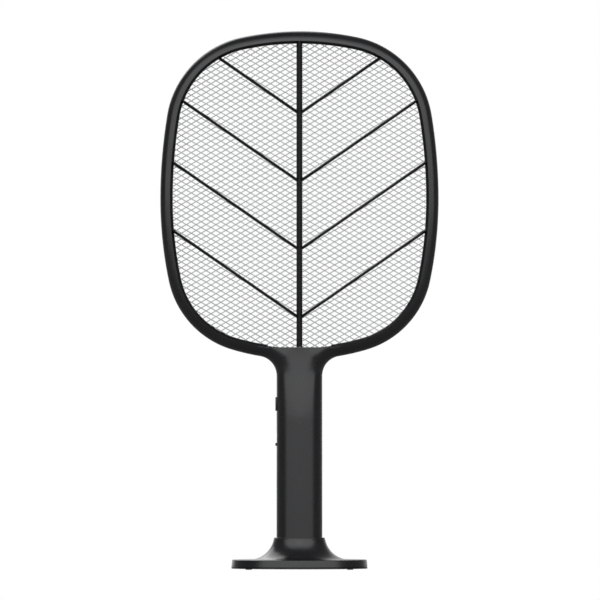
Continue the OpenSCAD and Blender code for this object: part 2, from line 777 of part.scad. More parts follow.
module stand_shell() {
    color(shell_colour) difference() {
        union() {
            rotate_extrude($fn = 180) stand_section();
            for (angle = base_screw_angles) rotate([0, 0, angle])
                translate([base_screw_ring_r, 0, shell_foot]) cylinder(r = boss_r, h = plate_top - 1 - shell_foot, $fn = 32);
            translate([0, key_y, socket_floor - 1]) cylinder(r = key_r, h = 2.2, $fn = 32);
        }
        for (angle = base_screw_angles) rotate([0, 0, angle])
            translate([base_screw_ring_r, 0, shell_foot - cut])
                cylinder(d = screw_d + 0.3, h = plate_top - 2 - shell_foot + cut, $fn = 32);
        for (side = [-1, 1]) translate([side * contact_span / 2, 0, socket_floor - stand_wall - cut])
            cylinder(r = barrel_r + 0.1, h = stand_wall + 2 * cut, $fn = 32);
        usb_cut(0.3);
    }
}
module usb_outline(extra) {
    corner = usb_h / 2;
    for (side = [-1, 1]) translate([side * (usb_w / 2 - corner), 0]) circle(r = corner + extra, $fn = 32);
    translate([corner - usb_w / 2, -corner - extra]) square([usb_w - 2 * corner, usb_h + 2 * extra]);
}
module usb_cut(extra) {
    translate([0, stand_r + cut, usb_mid_z]) rotate([90, 0, 0]) linear_extrude(rim_wall + 4) usb_outline(extra);
}
module base_plate() {
    chamfer = 0.3;
    spigot_r = rim_inner_r - 0.2;
    color(shell_colour) difference() {
        rotate_extrude($fn = 180) polygon([
            [0, plate_foot], [stand_r - chamfer, plate_foot], [stand_r, plate_foot + chamfer],
            [stand_r, plate_foot + plate_flange_t], [stand_r - 1.1, plate_foot + plate_flange_t],
            [stand_r - 1.1, shell_foot], [spigot_r, shell_foot], [spigot_r, shell_foot + 1.2],
            [spigot_r - 1.4, shell_foot + 1.2], [spigot_r - 1.4, plate_floor], [0, plate_floor]
        ]);
        for (x = [-1, 1], y = [-1, 1])
            translate([x * feet_span_x / 2, y * feet_span_y / 2, plate_foot - cut])
                cylinder(d = foot_d + 0.2, h = cut + 0.5, $fn = 32);
        for (angle = base_screw_angles) rotate([0, 0, angle]) translate([base_screw_ring_r, 0, plate_foot]) {
            translate([0, 0, -cut]) cylinder(d = screw_d + 0.4, h = 4, $fn = 32);
            translate([0, 0, -cut]) cylinder(d = screw_head_d + 0.4, h = cut + 0.7, $fn = 32);
        }
        translate([-usb_w / 2 - 0.5, usb_mouth_y - usb_len - 0.5, plate_floor])
            cube([usb_w + 1, usb_len + 3, 3]);
    }
}
module ballast_ring() {
    slot_w = charge_board_w + 2;
    color("gray") difference() {
        translate([0, 0, plate_floor]) difference() {
            cylinder(r = ballast_outer_r, h = ballast_t, $fn = 120);
            translate([0, 0, -cut]) cylinder(r = ballast_inner_r, h = ballast_t + 2 * cut, $fn = 96);
        }
        translate([-slot_w / 2, 0, plate_floor - cut]) cube([slot_w, stand_r, ballast_t + 2 * cut]);
        for (angle = base_screw_angles) rotate([0, 0, angle])
            translate([base_screw_ring_r, 0, plate_floor - cut]) cylinder(r = boss_r + 0.4, h = ballast_t + 2 * cut, $fn = 32);
    }
}
module rubber_feet() {
    color(black) for (x = [-1, 1], y = [-1, 1])
        translate([x * feet_span_x / 2, y * feet_span_y / 2, 0]) cylinder(d = foot_d, h = foot_h + 0.5, $fn = 32);
}
module base_screws() {
    color("silver") for (angle = base_screw_angles) rotate([0, 0, angle])
        translate([base_screw_ring_r, 0, plate_foot]) {
            cylinder(d = screw_head_d, h = 0.7, $fn = 32);
            cylinder(d = screw_d, h = plate_top - 3 - plate_foot, $fn = 32);
        }
}
module charge_board() {
    near_y = -8;
    color("darkgreen") translate([-charge_board_w / 2, near_y, plate_floor])
        cube([charge_board_w, usb_mouth_y - 1.6 - rim_wall - near_y, charge_board_t]);
}
module usb_socket() {
    wall = 0.4;
    color("silver") translate([0, usb_mouth_y, usb_mid_z]) rotate([90, 0, 0]) difference() {
        linear_extrude(usb_len) usb_outline(0);
        translate([0, 0, -cut]) linear_extrude(usb_len + cut - 1.2) usb_outline(-wall);
    }
    color(black) translate([-3.3, usb_mouth_y - usb_len + 1.2, usb_mid_z - 0.35]) cube([6.6, 5.4, 0.7]);
}
module contact_barrels() {
    color("gold") for (side = [-1, 1]) translate([side * contact_span / 2, 0, charge_board_top])
        difference() {
            cylinder(r = barrel_r, h = barrel_top - charge_board_top, $fn = 48);
            translate([0, 0, 0.6]) cylinder(r = pin_r + running_gap, h = barrel_top, $fn = 48);
        }
}
module contact_pins() {
    pin_foot = charge_board_top + 0.6 + contact_travel + 0.3;
    color("gold") for (side = [-1, 1]) translate([side * contact_span / 2, 0, pin_foot])
        cylinder(r = pin_r, h = pin_tip - pin_foot, $fn = 48);
}

front_shell();
rear_shell();
front_grille();
rear_grille();
front_guard_mesh();
centre_mesh();
rear_guard_mesh();
front_spacer();
rear_spacer();
mesh_terminals();
electrode_leads();
end_cap();
charge_pads();
charge_leads();
battery_cell();
cell_contacts();
battery_cradle();
battery_leads();
control_board();
board_components();
transformer();
hv_capacitors();
rectifier_diodes();
tact_switch();
switch_plunger();
trigger_button();
slide_switch();
switch_lever();
power_slider();
shell_screws();
stand_shell();
base_plate();
ballast_ring();
rubber_feet();
base_screws();
charge_board();
usb_socket();
contact_barrels();
contact_pins();
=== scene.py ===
"""Electric fly swatter in its charging stand: the looks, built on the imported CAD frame."""

import math
from types import SimpleNamespace

import bmesh
import bpy
from mathutils import Matrix, Vector


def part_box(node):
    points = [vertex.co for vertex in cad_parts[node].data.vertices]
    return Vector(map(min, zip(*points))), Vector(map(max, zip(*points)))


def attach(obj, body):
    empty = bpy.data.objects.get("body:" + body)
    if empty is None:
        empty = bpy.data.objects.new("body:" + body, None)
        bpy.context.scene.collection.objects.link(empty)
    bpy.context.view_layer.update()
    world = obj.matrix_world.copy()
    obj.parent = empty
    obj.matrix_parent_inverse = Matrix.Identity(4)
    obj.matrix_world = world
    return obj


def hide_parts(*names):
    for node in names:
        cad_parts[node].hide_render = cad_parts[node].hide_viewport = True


bl_info = {
    "name": "Electric fly swatter",
    "version": (1, 0, 0),
    "blender": (4, 5, 0),
    "location": "View3D > Sidebar > Swatter",
    "description": "Builds the swatter, its stand, its finishes and its stage round the CAD frame",
    "category": "Object",
}

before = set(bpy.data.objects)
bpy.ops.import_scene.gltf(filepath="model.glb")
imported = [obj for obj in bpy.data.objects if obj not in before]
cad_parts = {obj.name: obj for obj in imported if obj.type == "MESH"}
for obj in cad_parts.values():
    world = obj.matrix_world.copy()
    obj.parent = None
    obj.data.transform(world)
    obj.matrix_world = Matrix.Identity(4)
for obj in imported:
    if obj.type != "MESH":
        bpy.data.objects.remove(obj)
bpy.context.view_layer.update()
MM = 0.001

# Screws, mm: a head's radius, and the seat of the handle's screws behind the middle plane
SCREW_HEAD_R = 2.0
SCREW_SEAT_Y = 13.0
SCREW_HEAD_T = 1.6
# The four base screws, mm: their circle, and the height of their recesses
BASE_SCREW_CIRCLE_R = 47.0
BASE_SCREW_Z = 0.7
# The two contacts' distance from the stand's axis, mm
CONTACT_X = 7.0
# Where the front mesh's two families of strands start, mm
STRAND_START = (1.53, 1.93)
# Gap left round a control in its opening, mm
CONTROL_ROOM = 0.25


# ---------------------------------------------------------------- small helpers


def box_mm(node):
    """Lowest and highest corners of a CAD node, in millimetres."""
    low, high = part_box(node)
    return low / MM, high / MM


def linear(code):
    """An sRGB hex colour as the linear RGBA that the shaders take."""
    parts = [int(code[i : i + 2], 16) / 255 for i in (1, 3, 5)]
    return tuple(c / 12.92 if c <= 0.04045 else ((c + 0.055) / 1.055) ** 2.4 for c in parts) + (1.0,)


def swatter(context):
    """The sizes as plain numbers, in millimetres and degrees."""
    group = context.scene.swatter
    scale = {"LENGTH": 1 / MM, "ROTATION": math.degrees(1)}
    held = [p for p in group.bl_rna.properties if p.unit in scale]
    return SimpleNamespace(**{p.identifier: getattr(group, p.identifier) * scale[p.unit] for p in held})


def sides(bm, test):
    """The edges of bm whose two ends both pass a test on their place."""
    return [e for e in bm.edges if all(test(v.co) for v in e.verts)]


def rounded(bm, edges, offset, segments):
    """Rounds the edges, or chamfers them with one segment."""
    bmesh.ops.bevel(bm, geom=edges, offset=offset, segments=segments, profile=0.5, affect="EDGES", material=-1)


def block(bm, low, high, bevel=0.0, segments=3):
    """A block between two corners with rounded edges, added to bm."""
    low, high = Vector(low), Vector(high)
    place = Matrix.Translation((low + high) / 2) @ Matrix.Diagonal((*(high - low), 1))
    made = bmesh.ops.create_cube(bm, size=1, matrix=place)
    edges = list({e for v in made["verts"] for e in v.link_edges})
    if bevel:
        rounded(bm, edges, bevel, segments)
    return made


def rod(bm, radius, depth, place, segments):
    """A closed round bar along the Z axis of place."""
    bmesh.ops.create_cone(
        bm, cap_ends=True, segments=segments, radius1=radius, radius2=radius, depth=depth, matrix=place
    )


def join(bm, part):
    """Moves part into bm."""
    mesh = bpy.data.meshes.new("part")
    part.to_mesh(mesh)
    part.free()
    bm.from_mesh(mesh)
    bpy.data.meshes.remove(mesh)


def turned(bm, points, steps=96, centre=(0, 0), closed=True):
    """A closed or open half section of (radius, height) points, spun round a vertical axis."""
    verts = [bm.verts.new((r, 0, z)) for r, z in points]
    ends = zip(verts, verts[1:] + verts[:1]) if closed else zip(verts, verts[1:])
    edges = [bm.edges.new(pair) for pair in ends]
    before = set(bm.verts) - set(verts)
    bmesh.ops.spin(
        bm, geom=verts + edges, cent=(0, 0, 0), axis=(0, 0, 1), angle=2 * math.pi, steps=steps, use_merge=True
    )
    new = [v for v in bm.verts if v not in before]
    bmesh.ops.remove_doubles(bm, verts=new, dist=0.002)
    new = [v for v in new if v.is_valid]
    bmesh.ops.translate(bm, verts=new, vec=(centre[0], centre[1], 0))
    return new


def arc_points(centre, radius, first, last, steps):
    """Points along an arc, angles in degrees."""
    turns = [math.radians(first + (last - first) * i / steps) for i in range(steps + 1)]
    return [(centre[0] + radius * math.cos(t), centre[1] + radius * math.sin(t)) for t in turns]


def evaluated(obj, cutters=()):
    """Applies the modifiers of obj, and removes the cutters that they used."""
    bpy.context.view_layer.update()
    mesh = bpy.data.meshes.new_from_object(obj.evaluated_get(bpy.context.evaluated_depsgraph_get()))
    obj.modifiers.clear()
    obj.data = mesh
    for cutter in cutters:
        bpy.data.objects.remove(cutter)


def piece(name, bm, outward=True):
    """A new object from bm, whose sizes are in millimetres."""
    if outward:
        bmesh.ops.recalc_face_normals(bm, faces=bm.faces[:])
    bmesh.ops.scale(bm, vec=(MM, MM, MM), verts=bm.verts[:])
    mesh = bpy.data.meshes.new(name)
    bm.to_mesh(mesh)
    bm.free()
    obj = bpy.data.objects.new(name, mesh)
    bpy.context.scene.collection.objects.link(obj)
    return obj


def cut(obj, cutters, operation="DIFFERENCE"):
    """Cuts obj with each cutter and applies the result."""
    for cutter in cutters:
        modifier = obj.modifiers.new("cut", "BOOLEAN")
        modifier.operation = operation
        modifier.solver = "EXACT"
        modifier.object = cutter
    evaluated(obj, cutters)


def finished(obj, material, body, replaced=(), angle=32):
    """Shades obj smooth up to an angle, gives it its material and hangs it on its body."""
    obj.data.shade_smooth()
    obj.data.set_sharp_from_angle(angle=math.radians(angle))
    obj.data.materials.clear()
    obj.data.materials.append(bpy.data.materials[material])
    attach(obj, body)
    if replaced:
        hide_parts(*replaced)
    return obj


# ---------------------------------------------------------------- outline of the head


def outline_arcs(s):
    """The right half of the head's outline from its foot to its top, as arcs round the Y axis:
    (centre x, centre z, radius, first angle, last angle), angles in degrees from +X."""

    def chain(half_h, corner_r, side, end):
        a, b = 1 - math.cos(side), math.sin(end)
        c, d = math.sin(side), 1 - math.cos(end)
        p = s.head_w / 2 - corner_r * (math.cos(side) - math.sin(end))
        q = half_h + corner_r * (math.sin(side) - math.cos(end))
        side_r = (p * d - b * q) / (a * d - b * c)
        end_r = (a * q - p * c) / (a * d - b * c)
        return [
            (s.head_w / 2 - side_r, 0, side_r),
            (
                s.head_w / 2 - side_r + (side_r - corner_r) * math.cos(side),
                (side_r - corner_r) * math.sin(side),
                corner_r,
            ),
            (0, half_h - end_r, end_r),
        ]

    down_turns = (s.side_down_turn, 90 - s.bottom_turn, 90)
    up_turns = (s.side_up_turn, 90 - s.top_turn, 90)
    down = chain(s.head_down_h, s.corner_down_r, math.radians(s.side_down_turn), math.radians(s.bottom_turn))
    up = chain(s.head_up_h, s.corner_up_r, math.radians(s.side_up_turn), math.radians(s.top_turn))
    lower = [
        (cx, s.head_z - cz, r, -last, -first)
        for (cx, cz, r), first, last in zip(down, (0, *down_turns[:2]), down_turns)
    ]
    upper = [
        (cx, s.head_z + cz, r, first, last)
        for (cx, cz, r), first, last in zip(up, (0, *up_turns[:2]), up_turns)
    ]
    return lower[::-1] + upper


def outline_points(s, inset, step=2.0):
    """Closed ring of points at an inset from the head's outline, seen from the front."""
    half = []
    for cx, cz, r, first, last in outline_arcs(s):
        n = math.ceil((last - first) / step)
        for i in range(n):
            t = math.radians(first + (last - first) * i / n)
            half.append((cx + (r - inset) * math.cos(t), cz + (r - inset) * math.sin(t)))
    top = (0, s.head_z + s.head_up_h - inset)
    return half + [top] + [(-x, z) for x, z in half[:0:-1]]


def sweep_arcs(bm, points, closed, arcs):
    """Sweeps a section of (inset, height) points along the arcs."""
    cx, cz, r, first, _ = arcs[0]
    t = math.radians(first)
    verts = [
        bm.verts.new((cx + (r - inset) * math.cos(t), -h, cz + (r - inset) * math.sin(t))) for inset, h in points
    ]
    pairs = zip(verts, verts[1:] + verts[:1]) if closed else zip(verts, verts[1:])
    geom = verts + [bm.edges.new(pair) for pair in pairs]
    for cx, cz, r, first, last in arcs:
        steps = max(4, math.ceil(math.radians(last - first) * r / 2.6))
        spun = bmesh.ops.spin(
            bm, geom=geom, cent=(cx, 0, cz), axis=(0, -1, 0), angle=math.radians(last - first), steps=steps
        )
        geom = [g for g in spun["geom_last"] if not isinstance(g, bmesh.types.BMFace)]


def clip(points, origin, way):
    """Places where a line crosses a ring of points: (distance along the line, square to the ring)."""
    hits = []
    for (ax, az), (bx, bz) in zip(points, points[1:] + points[:1]):
        ex, ez = bx - ax, bz - az
        det = way[0] * -ez + ex * way[1]
        if abs(det) < 1e-9:
            continue
        qx, qz = ax - origin[0], az - origin[1]
        t = (qx * -ez + ex * qz) / det
        u = (way[0] * qz - way[1] * qx) / det
        if 0 <= u < 1:
            hits.append((t, Vector((-ez, 0, ex)).normalized()))
    return sorted(hits, key=lambda hit: hit[0])


# ---------------------------------------------------------------- materials


def add(tree, kind, at, settings=(), links=()):
    """Adds one node with its settings, and links its inputs from other nodes' outputs."""
    node = tree.nodes.new(kind)
    node.location = at
    for key, value in dict(settings).items():
        if isinstance(key, str) and hasattr(node, key):
            setattr(node, key, value)
        else:
            node.inputs[key].default_value = value
    for key, source in dict(links).items():
        tree.links.new(source, node.inputs[key])
    return node


def surface(name, base, rough, metallic=0.0, ior=1.5, grain_mm=0.4, grain=0.05, bump_mm=0.01, spread=0.06, extra=()):
    """One finish: a base colour that wanders a little, a roughness that follows a slow cloud,
    and a bump whose grain is grain_mm across and bump_mm deep."""
    material = bpy.data.materials.new(name)
    material.use_nodes = True
    tree = material.node_tree
    tree.nodes.clear()
    out = add(tree, "ShaderNodeOutputMaterial", (900, 0))
    place = add(tree, "ShaderNodeTexCoord", (-900, 0))
    fine = add(
        tree,
        "ShaderNodeTexNoise",
        (-650, -250),
        {"Scale": 1000 / grain_mm / 2, "Detail": 2.0, "Roughness": 0.6},
        {"Vector": place.outputs["Object"]},
    )
    cloud = add(
        tree,
        "ShaderNodeTexNoise",
        (-650, 150),
        {"Scale": 1000 / 35, "Detail": 4.0, "Roughness": 0.55},
        {"Vector": place.outputs["Object"]},
    )
    tone = add(
        tree,
        "ShaderNodeMapRange",
        (-400, 250),
        {"From Min": 0.3, "From Max": 0.7, "To Min": 1 - spread, "To Max": 1 + spread},
        {"Value": cloud.outputs["Fac"]},
    )
    speck = add(
        tree,
        "ShaderNodeMapRange",
        (-400, 0),
        {"From Min": 0.3, "From Max": 0.7, "To Min": 1 - grain, "To Max": 1 + grain},
        {"Value": fine.outputs["Fac"]},
    )
    both = add(
        tree, "ShaderNodeMath", (-200, 150), {"operation": "MULTIPLY"}, {0: tone.outputs[0], 1: speck.outputs[0]}
    )
    colour = add(
        tree,
        "ShaderNodeVectorMath",
        (0, 200),
        {"operation": "SCALE", 0: base},
        {"Scale": both.outputs[0]},
    )
    gloss = add(
        tree,
        "ShaderNodeMapRange",
        (0, 0),
        {"From Min": 0.3, "From Max": 0.7, "To Min": rough - 0.04, "To Max": rough + 0.05},
        {"Value": cloud.outputs["Fac"]},
    )
    bump = add(
        tree,
        "ShaderNodeBump",
        (200, -250),
        {"Strength": 0.6, "Distance": bump_mm * MM},
        {"Height": fine.outputs["Fac"]},
    )
    shader = add(
        tree,
        "ShaderNodeBsdfPrincipled",
        (500, 0),
        {"Metallic": metallic, **({} if metallic else {"IOR": ior}), **dict(extra)},
        {"Base Color": colour.outputs[0], "Roughness": gloss.outputs[0], "Normal": bump.outputs[0]},
    )
    tree.links.new(shader.outputs[0], out.inputs["Surface"])
    return material


FINISHES = {
    # Injection-moulded ABS from a spark-eroded mould: charcoal, satin, with a fine even grain
    "charcoal_abs": dict(rough=0.26, ior=1.53, grain_mm=0.35, grain=0.06, bump_mm=0.012),
    # The same ABS moulded glossier and nearly black, for the grilles: sharp dark edges
    "black_abs": dict(
        rough=0.4, ior=1.53, grain_mm=0.3, grain=0.05, bump_mm=0.006, extra={"Specular IOR Level": 0.22}
    ),
    # Black POM of the buttons: slicker than the shells, so their edges catch a thin line of light
    "button_pom": dict(rough=0.3, ior=1.48, grain_mm=0.4, grain=0.05, bump_mm=0.006),
    # Expanded aluminium sheet, bare: dull silver with a rolled grain
    "aluminium_mesh": dict(rough=0.42, metallic=1.0, grain_mm=0.5, grain=0.1, bump_mm=0.004),
    # Gold-flashed brass contacts: warm and bright
    "gilt_brass": dict(rough=0.28, metallic=1.0, grain_mm=0.3, grain=0.04, bump_mm=0.003),
    # Zinc-plated steel of the screws: cool grey, slightly cloudy
    "zinc_steel": dict(rough=0.38, metallic=1.0, grain_mm=0.4, grain=0.08, bump_mm=0.004),
    # Nickel-plated pressed steel of the socket and switch cases
    "nickel_steel": dict(rough=0.3, metallic=1.0, grain_mm=0.5, grain=0.05, bump_mm=0.003),
    # Plain pressed steel ring, phosphated grey
    "phosphated_steel": dict(rough=0.55, metallic=1.0, grain_mm=0.8, grain=0.15, bump_mm=0.01),
    # Soft silicone rubber of the feet: matt, slightly dusty black
    "foot_rubber": dict(rough=0.75, ior=1.42, grain_mm=0.6, grain=0.12, bump_mm=0.02),
    # PVC sleeve of the wires: red, semi-gloss
    "wire_sleeve": dict(rough=0.4, ior=1.53, grain_mm=0.5, grain=0.04, bump_mm=0.004),
    # Shrunk PVC film round the cell: green, glossy with faint wrinkles
    "cell_film": dict(rough=0.25, ior=1.53, grain_mm=3.0, grain=0.05, bump_mm=0.03),
    # Green solder-masked glass-epoxy laminate, with its weave just showing
    "board_laminate": dict(rough=0.35, ior=1.55, grain_mm=0.7, grain=0.12, bump_mm=0.006),
    # Moulded epoxy of chips and coil formers: matt black
    "component_epoxy": dict(rough=0.6, ior=1.55, grain_mm=0.3, grain=0.1, bump_mm=0.01),
    # Dipped phenolic of the capacitors: brown, slightly waxy
    "capacitor_dip": dict(rough=0.38, ior=1.5, grain_mm=1.2, grain=0.08, bump_mm=0.02),
    # Natural nylon of the plunger: ivory and soft-edged
    "ivory_nylon": dict(rough=0.45, ior=1.53, grain_mm=0.5, grain=0.03, bump_mm=0.005),
}

# Finish of every CAD node, shown or hidden
NODE_FINISH = {
    "charcoal_abs": ("front_shell", "rear_shell", "end_cap", "stand_shell", "base_plate"),
    "black_abs": ("front_grille", "rear_grille", "front_spacer", "rear_spacer", "battery_cradle"),
    "button_pom": ("trigger_button", "power_slider", "switch_lever"),
    "aluminium_mesh": ("front_guard_mesh", "centre_mesh", "rear_guard_mesh"),
    "gilt_brass": ("mesh_terminals", "charge_pads", "contact_barrels", "contact_pins"),
    "zinc_steel": ("shell_screws", "base_screws", "cell_contacts"),
    "nickel_steel": ("usb_socket", "slide_switch"),
    "phosphated_steel": ("ballast_ring",),
    "foot_rubber": ("rubber_feet",),
    "wire_sleeve": ("electrode_leads", "charge_leads", "battery_leads"),
    "cell_film": ("battery_cell",),
    "board_laminate": ("control_board", "charge_board"),
    "component_epoxy": ("board_components", "rectifier_diodes", "tact_switch", "transformer"),
    "capacitor_dip": ("hv_capacitors",),
    "ivory_nylon": ("switch_plunger",),
}


# ---------------------------------------------------------------- sizes that a user would change


def length(name, default, low, high, text):
    """A length property, given in millimetres and kept in metres."""
    return bpy.props.FloatProperty(
        name=name, default=default * MM, min=low * MM, max=high * MM, precision=5, unit="LENGTH", description=text
    )


def angle(name, default, low, high, text):
    """An angle property, given in degrees and kept in radians."""
    return bpy.props.FloatProperty(
        name=name,
        default=math.radians(default),
        min=math.radians(low),
        max=math.radians(high),
        unit="ROTATION",
        subtype="ANGLE",
        description=text,
    )


def colour(name, code, text):
    """A colour property, given as an sRGB hex value and kept linear."""
    return bpy.props.FloatVectorProperty(
        name=name, default=linear(code)[:3], min=0, max=1, size=3, subtype="COLOR", description=text
    )


class SwatterSizes(bpy.types.PropertyGroup):
    """Sizes of the swatter and its stand, the same as the CAD model's."""

    head_w: length("Head width", 227.6, 190, 280, "Width of the head at its widest line")
    head_up_h: length("Head above", 137.3, 110, 165, "Height of the head above its widest line")
    head_down_h: length("Head below", 131.1, 105, 160, "Height of the head below its widest line")
    head_z: length("Widest line", 302.7, 250, 360, "Height of the widest line above the surface")
    corner_up_r: length("Upper corner", 77.7, 60, 95, "Radius of the upper corners")
    corner_down_r: length("Lower corner", 74.5, 60, 92, "Radius of the lower corners")
    side_up_turn: angle("Upper side turn", 9.4, 8, 12, "Turn of the upper side arc")
    top_turn: angle("Top turn", 12.0, 10, 15, "Turn of the top arc on each side")
    side_down_turn: angle("Lower side turn", 11.9, 10, 15, "Turn of the lower side arc")
    bottom_turn: angle("Bottom turn", 16.5, 14, 20, "Turn of the bottom arc on each side")
    bead_r: length("Band radius", 10.0, 8, 12, "Radius of the rounded band's section")
    band_w: length("Band width", 8.0, 6.5, 9.7, "Width of the rounded band")
    lip_w: length("Lip width", 2.2, 1.8, 2.7, "Width of the black lip inside the band")
    grille_h: length("Lip height", 7.4, 6, 9, "Height of the lip's face above the middle plane")
    spine_w: length("Spine width", 4.8, 4, 6, "Width of the spine at its foot")
    vein_w: length("Rib width", 2.4, 2, 3, "Width of a slanting rib")
    vein_tilt: angle("Rib tilt", 34.7, 28, 40, "Angle of the slanting ribs")
    vein_pitch: length("Rib pitch", 55.7, 45, 62, "Distance between the ribs along the spine")
    first_vein_z: length("First rib", 205.4, 195, 215, "Height of the lowest ribs' joint")
    slot_z: length("Foot of the opening", 181.6, 175, 190, "Height of the opening's straight foot")
    slot_half_w: length("Half foot width", 25.8, 20, 30, "Half width of the opening's straight foot")
    strand_pitch: length("Strand pitch", 4.065, 3, 6, "Distance between the mesh's strands")
    strand_tilt: angle("Strand tilt", 30.2, 25, 45, "Angle of the mesh's strands")
    strand_w: length("Strand width", 0.34, 0.2, 1, "Width of a strand of the mesh")
    bond_w: length("Bond width", 1.5, 0.5, 3, "Width of the bonds where strands join")
    bond_h: length("Bond height", 0.62, 0.3, 2, "Height of the bonds where strands join")
    handle_r: length("Handle radius", 18.7, 16, 23, "Radius of the handle")
    neck_r: length("Neck radius", 16.0, 12, 20, "Radius between the handle and the head")
    ramp_foot: length("Ramp foot", 121.6, 100, 160, "Height where the handle starts to thin")
    ramp_len: length("Ramp length", 60.0, 20, 72, "Height over which the handle thins")
    shoulder_h: length("Shoulder", 14.0, 10, 18, "Height of the handle's front at the opening's foot")
    trigger_h: length("Trigger height", 11.5, 9.6, 13.8, "Height of the trigger button")
    trigger_w: length("Trigger width", 8.0, 7, 9, "Width of the trigger button")
    slider_h: length("Slider height", 8.4, 7, 10, "Height of the power slider")
    slider_w: length("Slider width", 4.5, 3.5, 5.5, "Width of the power slider")
    slider_travel: length("Slider travel", 1.8, 1, 3, "How far the power slider moves")
    collar_r: length("Collar radius", 20.8, 19, 24, "Outside radius of the stand's collar")
    socket_r: length("Socket radius", 19.0, 18, 23, "Inside radius of the stand's socket")
    flare_r: length("Flare radius", 20.5, 15, 25, "Radius of the curve from the collar to the rim")
    rim_h: length("Rim height", 8.0, 6, 10, "Height of the top of the stand's rim")
    wall: length("Shell wall", 1.6, 1, 2.5, "Wall of the moulded shells")
    groove: length("Parting groove", 0.22, 0.05, 0.5, "Depth of the groove between the two shells")


class SwatterColours(bpy.types.PropertyGroup):
    """Base colour of every finish, by the finish's name."""

    charcoal_abs: colour("Cases and stand", "#1C1C1E", "Moulded plastic of the two cases, the end cap and the stand")
    black_abs: colour("Grilles", "#070708", "Black plastic of the leaf grilles and the spacers")
    button_pom: colour("Buttons", "#141415", "Plastic of the trigger and the slider")
    aluminium_mesh: colour("Meshes", "#B4B5B7", "Bare metal of the three meshes")
    gilt_brass: colour("Contacts", "#D9A441", "Gold-flashed brass of the pads, pins and terminals")
    zinc_steel: colour("Screws", "#8E9093", "Plated steel of the screws")
    nickel_steel: colour("Sockets", "#B4B3AF", "Plated steel of the sockets and switch cases")
    phosphated_steel: colour("Ballast", "#4A4B4D", "Steel of the ballast ring")
    foot_rubber: colour("Feet", "#1B1B1B", "Rubber of the feet")
    wire_sleeve: colour("Wires", "#8C1F1C", "Sleeve of the wires")
    cell_film: colour("Cell", "#2C6B4A", "Film round the battery cell")
    board_laminate: colour("Boards", "#16452E", "Laminate of the circuit boards")
    component_epoxy: colour("Components", "#17171A", "Epoxy of the parts on the boards")
    capacitor_dip: colour("Capacitors", "#6B3A1E", "Dip of the high-voltage capacitors")
    ivory_nylon: colour("Plunger", "#D8D0B8", "Nylon of the switch's plunger")


# ---------------------------------------------------------------- pieces


def screw_heights():
    """Heights of the three handle screws, between the cap, the cell, the board and the neck."""
    low, high = box_mm("shell_screws")
    mid = (box_mm("battery_cradle")[1].z + box_mm("control_board")[0].z) / 2
    return low.z + SCREW_HEAD_R, mid, high.z - SCREW_HEAD_R


def control_heights():
    """Middle height of the trigger and of the slider, from their flanges' places."""
    return [sum(corner.z for corner in box_mm(node)) / 2 for node in ("trigger_button", "power_slider")]


class SWATTER_OT_finishes(bpy.types.Operator):
    """Makes every finish and gives each CAD node its own"""

    bl_idname = "swatter.finishes"
    bl_label = "Finishes"

    def execute(self, context):
        for name, look in FINISHES.items():
            surface(name, getattr(context.scene.swatter_colours, name)[:], **look)
        named = [n for nodes in NODE_FINISH.values() for n in nodes]
        if sorted(named) != sorted(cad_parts):
            raise RuntimeError("every CAD node needs one finish")
        for name, nodes in NODE_FINISH.items():
            for node in nodes:
                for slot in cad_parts[node].material_slots:
                    slot.material = bpy.data.materials[name]
        return {"FINISHED"}


